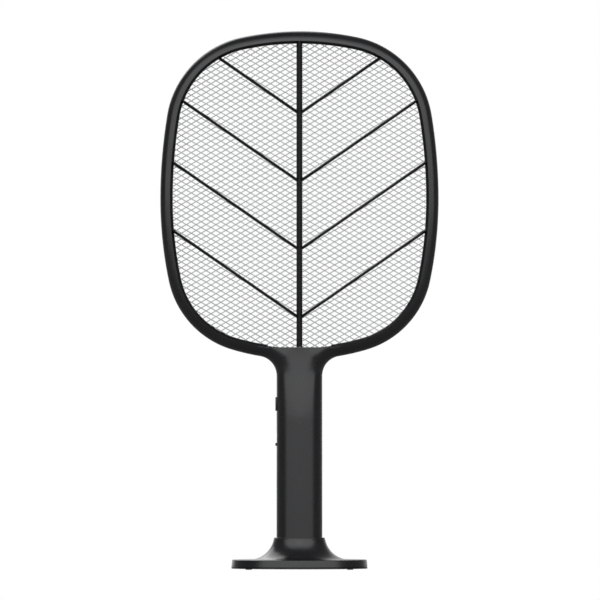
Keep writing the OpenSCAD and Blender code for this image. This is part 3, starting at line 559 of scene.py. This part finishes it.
class SWATTER_OT_cases(bpy.types.Operator):
    """Builds the two moulded shells, from the handle's foot round the head, with a blended neck"""

    bl_idname = "swatter.cases"
    bl_label = "Front and rear cases"

    steps = 20

    def neck(self, s):
        """Lines across the neck, from the outline inwards:
        (foot, way, length, share of the band's own roundness)."""
        arc = outline_arcs(s)[0]
        neck_x = s.handle_r + s.neck_r
        neck_z = arc[1] - math.sqrt((arc[2] + s.neck_r) ** 2 - neck_x**2)
        gap = math.degrees(math.asin(neck_x / (arc[2] + s.neck_r)))
        inner = arc[2] - s.band_w
        rise = (neck_z - s.ramp_foot) / 14
        lines = [((s.handle_r, s.ramp_foot + rise * i), (-1, 0), s.handle_r, 0) for i in range(14)]
        corner = 180 - math.degrees(math.atan2(s.slot_z - neck_z, neck_x))
        last = 90 + gap
        turns = [180 - (180 - corner) * i / 12 for i in range(12)]
        turns += [corner - (corner - last) * i / 16 for i in range(17)]
        for turn in turns:
            t = math.radians(turn)
            way = (math.cos(t), math.sin(t))
            reach = -neck_x / way[0]
            if way[1] > 1e-6:
                reach = min(reach, (s.slot_z - neck_z) / way[1])
            x, z = neck_x + reach * way[0], neck_z + reach * way[1]
            if turn < corner and arc[1] - math.sqrt(inner**2 - x**2) > z:
                dz = neck_z - arc[1]
                b = neck_x * way[0] + dz * way[1]
                reach = -b - math.sqrt(b * b - (neck_x**2 + dz**2 - inner**2))
            foot = (neck_x + s.neck_r * way[0], neck_z + s.neck_r * way[1])
            spread = min(max((corner - turn) / (corner - last), 0), 1)
            lines.append((foot, way, reach - s.neck_r, spread * spread * (3 - 2 * spread)))
        return lines, -90 + gap

    def edge_height(self, s, d, z, band):
        """Height of the surface at a distance d in from the outline: round at the edge, then level."""
        t = min(max((z - s.ramp_foot) / s.ramp_len, 0), 1)
        r = s.handle_r + (s.shoulder_h - s.handle_r) * t * t * (3 - 2 * t)
        r += (s.bead_r - r) * band
        d = min(d, r)
        return math.sqrt(max(2 * r * d - d * d, 0))

    def skin(self, s, foot_z):
        """The outside of the front case, without thickness."""
        n = self.steps
        bm = bmesh.new()
        heights = (foot_z, foot_z + 1, foot_z + 60, s.ramp_foot - 3, s.ramp_foot)
        verts = [bm.verts.new((s.handle_r, 0, z)) for z in heights]
        edges = [bm.edges.new(pair) for pair in zip(verts, verts[1:])]
        bmesh.ops.spin(bm, geom=verts + edges, cent=(0, 0, 0), axis=(0, 0, -1), angle=math.pi / 2, steps=n)

        lines, first = self.neck(s)
        k = len(lines) - 1
        grid = bmesh.ops.create_grid(bm, x_segments=k, y_segments=n, size=1)
        for v in grid["verts"]:
            foot, way, length, band = lines[round((v.co.x + 1) / 2 * k)]
            d = length * (1 - math.cos(math.pi / 2 * round((v.co.y + 1) / 2 * n) / n))
            x, z = foot[0] + way[0] * d, foot[1] + way[1] * d
            v.co = (x, -self.edge_height(s, d, z, band), z)

        arcs = outline_arcs(s)
        arcs[0] = (*arcs[0][:3], first, arcs[0][4])
        ds = [s.band_w * (1 - math.cos(math.pi / 2 * i / n)) for i in range(n + 1)]
        section = [(d, math.sqrt(2 * s.bead_r * d - d * d)) for d in ds]
        sweep_arcs(bm, section, False, arcs)
        bmesh.ops.remove_doubles(bm, verts=bm.verts[:], dist=0.02)
        bmesh.ops.mirror(bm, geom=bm.verts[:] + bm.edges[:] + bm.faces[:], matrix=Matrix(), merge_dist=0.02, axis="X")
        bmesh.ops.remove_doubles(bm, verts=bm.verts[:], dist=0.02)
        bmesh.ops.recalc_face_normals(bm, faces=bm.faces[:])
        front = min(bm.faces, key=lambda f: f.calc_center_median().y)
        if front.normal.y > 0:
            bmesh.ops.reverse_faces(bm, faces=bm.faces[:])

        # The step down to the black lip, with a small rounding
        rim = [e for e in sides(bm, lambda co: co.y < -5 and co.z > s.ramp_foot) if e.is_boundary]
        down = bmesh.ops.extrude_edge_only(bm, edges=rim)["geom"]
        for v in [g for g in down if isinstance(g, bmesh.types.BMVert)]:
            v.co.y = -(s.grille_h - 0.1)
        rounded(bm, rim, 0.45, 3)

        # The groove along the parting line
        bmesh.ops.bisect_plane(
            bm, geom=bm.verts[:] + bm.edges[:] + bm.faces[:], dist=0.001, plane_co=(0, -0.35, 0), plane_no=(0, 1, 0)
        )
        bm.normal_update()
        seam = [(v, v.normal.copy()) for v in bm.verts if abs(v.co.y) < 1e-4]
        for v, normal in seam:
            v.co -= normal * s.groove
        return bm

    def execute(self, context):
        s = swatter(context)
        low, _ = box_mm("front_shell")
        trigger_z, slider_z = control_heights()
        openings = (
            (s.trigger_w, trigger_z - s.trigger_h / 2, trigger_z + s.trigger_h / 2),
            (s.slider_w, slider_z - s.slider_h / 2, slider_z + s.slider_h / 2 + s.slider_travel),
        )
        for name, node, flip in (("front_case", "front_shell", False), ("rear_case", "rear_shell", True)):
            bm = self.skin(s, low.z + 0.05)
            if flip:
                bmesh.ops.scale(bm, vec=(1, -1, 1), verts=bm.verts[:])
                bmesh.ops.reverse_faces(bm, faces=bm.faces[:])
            obj = piece(name, bm, outward=False)
            wall = obj.modifiers.new("wall", "SOLIDIFY")
            wall.thickness = s.wall * MM
            wall.offset = -1
            wall.use_even_offset = True
            evaluated(obj)
            cutters = []
            for wide, foot, top in openings:
                hole = bmesh.new()
                half = wide / 2 + CONTROL_ROOM
                corner = Vector((-s.handle_r - 2, -half, foot - CONTROL_ROOM))
                block(hole, corner, (-s.handle_r + 5, half, top + CONTROL_ROOM), 0.6, 2)
                cutters.append(piece("opening", hole))
            if flip:
                for z in screw_heights():
                    hole = bmesh.new()
                    place = Matrix.Translation((0, SCREW_SEAT_Y + 10, z)) @ Matrix.Rotation(math.pi / 2, 4, "X")
                    rod(hole, SCREW_HEAD_R + 0.3, 20, place, 40)
                    cutters.append(piece("well", hole))
            cut(obj, cutters)
            finished(obj, "charcoal_abs", "swatter", (node,))
        return {"FINISHED"}


class SWATTER_OT_controls(bpy.types.Operator):
    """Builds the trigger button and the power slider"""

    bl_idname = "swatter.controls"
    bl_label = "Trigger and slider"

    def execute(self, context):
        s = swatter(context)
        mid, slider_mid = control_heights()
        low, high = box_mm("trigger_button")
        bm = bmesh.new()
        half_w, half_h = s.trigger_w / 2, s.trigger_h / 2
        block(bm, (low.x, -half_w, mid - half_h), (low.x + 4.2, half_w, mid + half_h), 0.55, 4)
        # A shallow dish for the fingertip
        face = min(bm.faces, key=lambda f: (round(f.calc_center_median().x, 3), -f.calc_area()))
        bmesh.ops.inset_region(bm, faces=[face], thickness=0.7, depth=0)
        bmesh.ops.inset_region(bm, faces=[face], thickness=0.5, depth=-0.22)
        block(bm, (low.x + 4.0, low.y, low.z), (low.x + 5.0, high.y, high.z), 0.25, 2)
        block(bm, (low.x + 4.8, -2, mid - 2), (high.x, 2, mid + 2), 0.3, 2)
        finished(piece("trigger_key", bm), "button_pom", "trigger", ("trigger_button",))

        low, high = box_mm("power_slider")
        half_w = s.slider_w / 2
        foot, head = slider_mid - s.slider_h / 2, slider_mid + s.slider_h / 2
        body_x = low.x + 1.35
        bm = bmesh.new()
        block(bm, (body_x, -half_w, foot), (body_x + 3.2, half_w, head), 0.3, 3)
        block(bm, (low.x, -half_w + 0.1, foot), (body_x + 0.6, half_w - 0.1, foot + 2.4), 0.4, 3)
        # Three grip ridges above the thumb stop
        for i in range(3):
            z = foot + 3.5 + i * 1.5
            block(bm, (body_x - 0.35, -half_w + 0.35, z), (body_x + 0.5, half_w - 0.35, z + 0.7), 0.25, 2)
        block(bm, (body_x + 2.9, low.y, low.z), (body_x + 3.9, high.y, high.z), 0.2, 2)
        block(bm, (body_x + 3.7, -1.8, slider_mid - 1.8), (high.x, 1.8, slider_mid + 1.8), 0.2, 2)
        finished(piece("slider_key", bm), "button_pom", "slider", ("power_slider",))
        return {"FINISHED"}


class SWATTER_OT_grilles(bpy.types.Operator):
    """Builds the two leaf grilles: the lip, the spine and the slanting ribs"""

    bl_idname = "swatter.grilles"
    bl_label = "Leaf grilles"

    def grille(self, s, depth):
        face_h, back_h = s.grille_h, s.grille_h - depth
        bm = bmesh.new()
        # The lip, whose face slopes back from the band to a thin inner edge
        inner = s.band_w + s.lip_w
        section = [(s.band_w - 1.2, back_h), (s.band_w - 1.2, face_h + 1.2), (s.band_w + 0.35, face_h + 1.2)]
        section += [(inner - 0.15, back_h + 0.35), (inner, back_h)]
        arcs = outline_arcs(s)
        foot = arcs[0]
        first = -math.degrees(math.acos(s.slot_half_w / (foot[2] - inner)))
        arcs[0] = (*foot[:3], first, foot[4])
        sweep_arcs(bm, section, True, arcs)
        ends = [e for e in bm.edges if e.is_boundary and all(v.co.z < s.head_z for v in e.verts)]
        bmesh.ops.holes_fill(bm, edges=ends, sides=len(ends))
        bmesh.ops.mirror(bm, geom=bm.verts[:] + bm.edges[:] + bm.faces[:], matrix=Matrix(), merge_dist=0.01, axis="X")

        # The slanting ribs, cut off along the band
        ring = outline_points(s, s.band_w + 0.12)
        rise = face_h + 1.0
        tilt = math.radians(s.vein_tilt)
        for side in (1, -1):
            for i in range(4):
                origin = (0, s.first_vein_z + i * s.vein_pitch)
                way = (side * math.cos(tilt), math.sin(tilt))
                length, normal = [hit for hit in clip(ring, origin, way) if hit[0] > 0][-1]
                rib = bmesh.new()
                block(rib, (-0.5, -rise, -s.vein_w / 2), (length + 6, -back_h, s.vein_w / 2))
                crest = [v for v in rib.verts if v.co.y < -rise + 0.01]
                bmesh.ops.scale(rib, vec=(1, 1, 0.12), verts=crest)
                top = sides(rib, lambda co: co.y < -rise + 0.01)
                top = [e for e in top if abs(e.verts[0].co.x - e.verts[1].co.x) > 1]
                rounded(rib, top, 0.12, 2)
                turn = math.atan2(way[1], way[0])
                bmesh.ops.rotate(rib, verts=rib.verts[:], cent=(0, 0, 0), matrix=Matrix.Rotation(-turn, 3, "Y"))
                bmesh.ops.translate(rib, verts=rib.verts[:], vec=(origin[0], 0, origin[1]))
                end = Vector((origin[0] + way[0] * length, 0, origin[1] + way[1] * length))
                out = normal if normal.dot(Vector((way[0], 0, way[1]))) > 0 else -normal
                cutting = bmesh.ops.bisect_plane(
                    rib, geom=rib.verts[:] + rib.edges[:] + rib.faces[:], plane_co=end, plane_no=out, clear_outer=True
                )
                bmesh.ops.holes_fill(rib, edges=[g for g in cutting["geom_cut"] if isinstance(g, bmesh.types.BMEdge)])
                join(bm, rib)

        # The spine: sloping flanks and a narrow flat, from the foot of the opening to the band
        top_z = s.head_z + s.head_up_h - s.band_w - 0.12
        flat_h = face_h + 1.3
        half, flat = s.spine_w / 2, 0.9
        section = [(-half, back_h), (-half, back_h + 0.5), (-flat, flat_h)]
        section += [(-x, h) for x, h in section[::-1]]
        verts = [bm.verts.new((x, -h, s.slot_z + 0.12)) for x, h in section]
        base = bm.faces.new(verts)
        pulled = bmesh.ops.extrude_face_region(bm, geom=[base])["geom"]
        moved = [g for g in pulled if isinstance(g, bmesh.types.BMVert)]
        bmesh.ops.translate(bm, verts=moved, vec=(0, 0, top_z - s.slot_z - 0.12))
        ridge = [e for v in verts + moved for e in v.link_edges if abs(v.co.y + flat_h) < 0.01]
        ridge = [e for e in set(ridge) if abs(e.verts[0].co.z - e.verts[1].co.z) > 10]
        rounded(bm, ridge, 0.2, 3)
        return bm

    def execute(self, context):
        s = swatter(context)
        for name, node, flip in (("front_leaf", "front_grille", False), ("rear_leaf", "rear_grille", True)):
            bm = self.grille(s, 1.8)
            if flip:
                bmesh.ops.scale(bm, vec=(1, -1, 1), verts=bm.verts[:])
            finished(piece(name, bm), "black_abs", "swatter", (node,))
        return {"FINISHED"}


class SWATTER_OT_meshes(bpy.types.Operator):
    """Builds the three metal meshes, each a lattice of slanting strands"""

    bl_idname = "swatter.meshes"
    bl_label = "Metal meshes"

    def lattice(self, s, ring, y, offsets, thickness):
        """Two families of strands, and a wider bond wherever they cross, as in expanded sheet."""
        bm = bmesh.new()
        one = bmesh.new()
        corner = Vector((s.bond_w / 2, thickness / 2, s.bond_h / 2))
        block(one, -corner, corner)
        upright = [e for e in one.edges if abs(e.verts[0].co.y - e.verts[1].co.y) > thickness / 2]
        rounded(one, upright, s.bond_h * 0.42, 1)
        bond = bpy.data.meshes.new("bond")
        one.to_mesh(bond)
        one.free()
        bond_at = Vector((0, 0, 0))
        tilt = math.radians(s.strand_tilt)
        for side, offset in zip((1, -1), offsets):
            way = (math.cos(tilt), side * math.sin(tilt))
            across = (-side * math.sin(tilt), math.cos(tilt))
            reach = [x * across[0] + z * across[1] for x, z in ring]
            first = math.ceil((min(reach) - offset) / s.strand_pitch)
            last = math.floor((max(reach) - offset) / s.strand_pitch)
            for i in range(first, last + 1):
                u = offset + i * s.strand_pitch
                hits = clip(ring, (across[0] * u, across[1] * u), way)
                if len(hits) < 2 or hits[-1][0] - hits[0][0] < 3:
                    continue
                start, end = hits[0][0], hits[-1][0]
                mid = (start + end) / 2
                place = Matrix.Translation((across[0] * u + way[0] * mid, y, across[1] * u + way[1] * mid))
                turn = Matrix.Rotation(math.pi / 2 - math.atan2(way[1], way[0]), 4, "Y")
                shape = Matrix.Diagonal((s.strand_w * 0.53, thickness * 0.53, 1, 1))
                shape @= Matrix.Rotation(math.pi / 8, 4, "Z")
                rod(bm, 1, end - start, place @ turn @ shape, 8)
                if side < 0:
                    continue
                # A bond at each crossing of this strand with the other family
                skew, lean = math.sin(2 * tilt), u * math.cos(2 * tilt) - offsets[1]
                low = math.ceil((start * skew + lean) / s.strand_pitch)
                high = math.floor((end * skew + lean) / s.strand_pitch)
                for j in range(low, high + 1):
                    t = (j * s.strand_pitch - lean) / skew
                    new = Vector((across[0] * u + way[0] * t, y, across[1] * u + way[1] * t))
                    bond.transform(Matrix.Translation(new - bond_at))
                    bond_at = new
                    bm.from_mesh(bond)
        bpy.data.meshes.remove(bond)
        return bm

    def execute(self, context):
        s = swatter(context)
        ring = outline_points(s, s.band_w - 0.9)
        pitch = s.strand_pitch
        # The three sheets are cut from one roll, so they lie nearly in register
        up, down = STRAND_START
        sheets = (
            ("front_guard_lattice", "front_guard_mesh", (up, down)),
            ("centre_lattice", "centre_mesh", (up + 0.05 * pitch, down - 0.04 * pitch)),
            ("rear_guard_lattice", "rear_guard_mesh", (up - 0.04 * pitch, down + 0.05 * pitch)),
        )
        for name, node, offsets in sheets:
            low, high = box_mm(node)
            bm = self.lattice(s, ring, (low.y + high.y) / 2, offsets, high.y - low.y)
            finished(piece(name, bm), "aluminium_mesh", "swatter", (node,), angle=50)
        return {"FINISHED"}


class SWATTER_OT_screws(bpy.types.Operator):
    """Builds the domed, cross-slotted screws of the handle and of the base"""

    bl_idname = "swatter.screws"
    bl_label = "Screws"

    def screw(self, bm, head_r, head_t, shank_r, shank_len):
        """One screw standing on its tip, its head up."""
        dome = arc_points((0, -2 * head_t), math.hypot(head_r, 2.4 * head_t), 40, 88, 8)
        top = max(z for _, z in dome)
        scale = head_t / (top + 1e-6)
        dome = [(min(x, head_r), max(z * scale, 0.15 * head_t)) for x, z in dome]
        turned(
            bm,
            [(0, -shank_len), (shank_r * 0.6, -shank_len), (shank_r, 0.8 - shank_len), (shank_r, 0), (head_r, 0)]
            + dome
            + [(0, head_t)],
            steps=32,
        )

    def cross(self, bm, width, length, depth, top):
        for turn in (0, math.pi / 2):
            made = block(bm, (-length / 2, -width / 2, top - depth), (length / 2, width / 2, top + 1))
            bmesh.ops.rotate(bm, verts=made["verts"], cent=(0, 0, 0), matrix=Matrix.Rotation(turn, 3, "Z"))

    def execute(self, context):
        inward, upward = Matrix.Rotation(-math.pi / 2, 4, "X"), Matrix.Rotation(math.pi, 4, "X")
        seats = [((0, SCREW_SEAT_Y, z), inward, SCREW_HEAD_R, SCREW_HEAD_T, 1.0, 20.0) for z in screw_heights()]
        for angle in (45, 135, 225, 315):
            t = math.radians(angle)
            place = (BASE_SCREW_CIRCLE_R * math.cos(t), BASE_SCREW_CIRCLE_R * math.sin(t), BASE_SCREW_Z)
            seats.append((place, upward, SCREW_HEAD_R, BASE_SCREW_Z, 1.0, 0))
        for name, node, slot_body, group in (
            ("handle_screws", "shell_screws", "swatter", seats[:3]),
            ("stand_screws", "base_screws", "stand", seats[3:]),
        ):
            bm, cutter = bmesh.new(), bmesh.new()
            for (x, y, z), turn, head_r, head_t, shank_r, shank_len in group:
                if not shank_len:
                    z, shank_len = z + head_t, 3.6
                    head_t = head_t - 0.05
                place = Matrix.Translation((x, y, z)) @ turn
                for target, make in (
                    (bm, lambda b: self.screw(b, head_r, head_t, shank_r, shank_len)),
                    (cutter, lambda b: self.cross(b, 0.5, 2.2, min(0.8, head_t * 0.7), head_t)),
                ):
                    single = bmesh.new()
                    make(single)
                    bmesh.ops.transform(single, matrix=place, verts=single.verts[:])
                    bmesh.ops.recalc_face_normals(single, faces=single.faces[:])
                    join(target, single)
            obj = piece(name, bm)
            modifier = obj.modifiers.new("cross", "BOOLEAN")
            modifier.operation = "DIFFERENCE"
            modifier.solver = "EXACT"
            modifier.use_self = True
            modifier.object = piece("cross", cutter)
            evaluated(obj, [modifier.object])
            finished(obj, "zinc_steel", slot_body, (node,))
        return {"FINISHED"}


class SWATTER_OT_stand(bpy.types.Operator):
    """Builds the stand's body and its feet"""

    bl_idname = "swatter.stand"
    bl_label = "Charging stand"

    def execute(self, context):
        s = swatter(context)
        low, high = box_mm("stand_shell")
        foot, top = low.z, high.z
        rim = max(abs(low.x), abs(high.x))
        collar, socket = s.collar_r, s.socket_r
        flare = (collar + s.flare_r - 0.1, s.rim_h + s.flare_r)
        outer = [(rim - 0.25, foot), (rim - 0.02, foot + 0.25)]
        outer += arc_points((rim - 1.2, s.rim_h - 0.7), 0.7, 5, 90, 5)
        outer += arc_points(flare, s.flare_r, 270, 190.5, 22)
        outer += [(collar, top - 0.9)] + arc_points((collar - 0.4, top - 0.4), 0.4, 0, 90, 4)
        outer += arc_points((socket + 0.35, top - 0.35), 0.35, 90, 180, 3)
        outer += [(socket, 9.0), (0, 9.0), (0, 7.0), (21.2, 7.0), (21.2, 18.0)]
        outer += arc_points(flare, s.flare_r + 2, 207.3, 270, 8)
        outer += [(52.3, s.rim_h - 2), (52.3, foot)]
        bm = bmesh.new()
        turned(bm, outer, steps=144)
        obj = piece("stand_body", bm)
        usb_low, usb_high = box_mm("usb_socket")
        hole = bmesh.new()
        block(hole, (usb_low.x - 0.3, 45, usb_low.z - 0.3), (usb_high.x + 0.3, 58, usb_high.z + 0.3))
        long_edges = [e for e in hole.edges if abs(e.verts[0].co.y - e.verts[1].co.y) > 5]
        corner = (usb_high.z - usb_low.z) / 2 + 0.25
        rounded(hole, long_edges, corner, 8)
        cutters = [piece("port", hole)]
        for side in (-1, 1):
            hole = bmesh.new()
            rod(hole, 1.9, 6, Matrix.Translation((side * CONTACT_X, 0, 8)), 32)
            cutters.append(piece("pin_hole", hole))
        cut(obj, cutters)
        finished(obj, "charcoal_abs", "stand", ("stand_shell",))

        low, high = box_mm("rubber_feet")
        bm = bmesh.new()
        r = 2.5
        section = [(0, high.z), (r, high.z), *arc_points((r - 0.3, 0.3), 0.3, 0, -90, 4), (0, 0)]
        for x in (low.x + r, high.x - r):
            for y in (low.y + r, high.y - r):
                turned(bm, section, steps=32, centre=(x, y))
        finished(piece("feet_pads", bm), "foot_rubber", "stand", ("rubber_feet",))
        return {"FINISHED"}


class SWATTER_OT_stage(bpy.types.Operator):
    """Adds the pale floor, the soft studio light and the camera"""

    bl_idname = "swatter.stage"
    bl_label = "Stage"

    def graded(self, tree, source, at, stops):
        """A brightness that follows one direction of the sky, from -1 to 1, through the stops."""
        turned_to = {"From Min": -1.0, "From Max": 1.0}
        spread = add(tree, "ShaderNodeMapRange", (at[0] - 200, at[1]), turned_to, {"Value": source})
        ramp = add(tree, "ShaderNodeValToRGB", at, {}, {0: spread.outputs[0]})
        elements = ramp.color_ramp.elements
        while len(elements) < len(stops):
            elements.new(0.5)
        for element, (position, value) in zip(elements, stops):
            element.position = (position + 1) / 2
            element.color = (value, value, value, 1)
        return ramp.outputs[0]

    def execute(self, context):
        scene = context.scene
        scene.view_settings.view_transform = "Standard"
        bm = bmesh.new()
        bmesh.ops.create_grid(bm, x_segments=8, y_segments=8, size=6)
        mesh = bpy.data.meshes.new("floor")
        bm.to_mesh(mesh)
        bm.free()
        floor = bpy.data.objects.new("floor", mesh)
        scene.collection.objects.link(floor)
        # Matt white acrylic, lit from below like a light table, so that it shows no edge
        material = bpy.data.materials.new("white_acrylic")
        material.use_nodes = True
        tree = material.node_tree
        tree.nodes.clear()
        seen = add(tree, "ShaderNodeLightPath", (-600, 200)).outputs["Is Camera Ray"]
        glow = add(tree, "ShaderNodeEmission", (-300, 200), {"Strength": 1.0})
        body = add(tree, "ShaderNodeBsdfDiffuse", (-300, 0), {"Color": linear("#8C8C8C")})
        both = add(tree, "ShaderNodeMixShader", (0, 100), {}, {0: seen, 1: body.outputs[0], 2: glow.outputs[0]})
        out = add(tree, "ShaderNodeOutputMaterial", (200, 100), {}, {"Surface": both.outputs[0]})
        floor.data.materials.append(material)

        # A broad softbox in front, brighter above eye level, with dark flags at the sides
        world = bpy.data.worlds.new("studio")
        scene.world = world
        world.use_nodes = True
        tree = world.node_tree
        tree.nodes.clear()
        place = add(tree, "ShaderNodeTexCoord", (-1000, 0))
        way = add(tree, "ShaderNodeSeparateXYZ", (-800, 0), {}, {0: place.outputs["Generated"]})

        front = self.graded(tree, way.outputs["Y"], (-400, 200), LIGHT_FRONT)
        height = self.graded(tree, way.outputs["Z"], (-400, -100), LIGHT_HEIGHT)
        back = self.graded(tree, way.outputs["Y"], (-400, -400), LIGHT_BACK)
        lit = add(tree, "ShaderNodeMath", (-100, 100), {"operation": "MULTIPLY_ADD"}, {0: front, 1: height, 2: back})
        lit = add(tree, "ShaderNodeMath", (0, 200), {"operation": "MULTIPLY", 1: 2.1}, {0: lit.outputs[0]})
        cool_white = {"Color": (0.985, 0.99, 1.0, 1.0)}
        studio = add(tree, "ShaderNodeBackground", (100, 100), cool_white, {"Strength": lit.outputs[0]})
        paper = add(tree, "ShaderNodeBackground", (100, -100), {"Color": (1, 1, 1, 1), "Strength": 1.0})
        seen = add(tree, "ShaderNodeLightPath", (100, 400)).outputs["Is Camera Ray"]
        mixed = {0: seen, 1: studio.outputs[0], 2: paper.outputs[0]}
        both = add(tree, "ShaderNodeMixShader", (300, 0), {}, mixed)
        add(tree, "ShaderNodeOutputWorld", (500, 0), {}, {"Surface": both.outputs[0]})

        for name, at, wide, power in (
            ("front_softbox", (0, -2.4, 2.0), 1.4, 2.0),
            ("rear_softbox", (-0.9, 2.3, 1.9), 2.0, 20.0),
        ):
            light = bpy.data.lights.new(name, "AREA")
            light.shape = "SQUARE"
            light.size = wide
            light.energy = power
            softbox = bpy.data.objects.new(name, light)
            softbox.location = at
            softbox.rotation_euler = (Vector((0, 0, 0.3)) - softbox.location).to_track_quat("-Z", "Y").to_euler()
            scene.collection.objects.link(softbox)

        camera = bpy.data.cameras.new("camera")
        distance = 16.0
        camera.lens = 36 * distance / 0.4905
        camera.sensor_width = 36
        camera.clip_start, camera.clip_end = 0.1, 100
        eye = bpy.data.objects.new("camera", camera)
        eye.location = (0.00045, -distance, 0.2202)
        eye.rotation_euler = (math.pi / 2, 0, 0)
        scene.collection.objects.link(eye)
        scene.camera = eye
        return {"FINISHED"}


# Brightness of the studio by direction: towards the front, by height, and behind
LIGHT_FRONT = [(-1.0, 1.0), (-0.38, 1.0), (-0.22, 0.04), (1.0, 0.0)]
LIGHT_HEIGHT = [(-0.3, 0.7), (0.0, 0.8), (0.35, 0.72), (0.6, 0.9), (0.8, 0.7), (0.95, 0.1)]
LIGHT_BACK = [(0.1, 0.03), (0.45, 0.04), (0.8, 0.1), (0.95, 0.5)]

STEPS = ("stage", "finishes", "cases", "controls", "grilles", "meshes", "screws", "stand")


class SWATTER_PT_panel(bpy.types.Panel):
    """Lists the pieces and their sizes"""

    bl_label = "Electric fly swatter"
    bl_idname = "SWATTER_PT_panel"
    bl_space_type = "VIEW_3D"
    bl_region_type = "UI"
    bl_category = "Swatter"

    def draw(self, context):
        for step in STEPS:
            self.layout.operator("swatter." + step)
        for group, kind in ((context.scene.swatter, SwatterSizes), (context.scene.swatter_colours, SwatterColours)):
            for key in kind.__annotations__:
                self.layout.prop(group, key)


CLASSES = (
    SwatterSizes,
    SwatterColours,
    SWATTER_OT_stage,
    SWATTER_OT_finishes,
    SWATTER_OT_cases,
    SWATTER_OT_controls,
    SWATTER_OT_grilles,
    SWATTER_OT_meshes,
    SWATTER_OT_screws,
    SWATTER_OT_stand,
    SWATTER_PT_panel,
)


def register():
    for cls in CLASSES:
        bpy.utils.register_class(cls)
    bpy.types.Scene.swatter = bpy.props.PointerProperty(type=SwatterSizes)
    bpy.types.Scene.swatter_colours = bpy.props.PointerProperty(type=SwatterColours)


def unregister():
    del bpy.types.Scene.swatter_colours, bpy.types.Scene.swatter
    for cls in reversed(CLASSES):
        bpy.utils.unregister_class(cls)


def main():
    register()
    for step in STEPS:
        getattr(bpy.ops.swatter, step)()


if __name__ == "__main__":
    main()
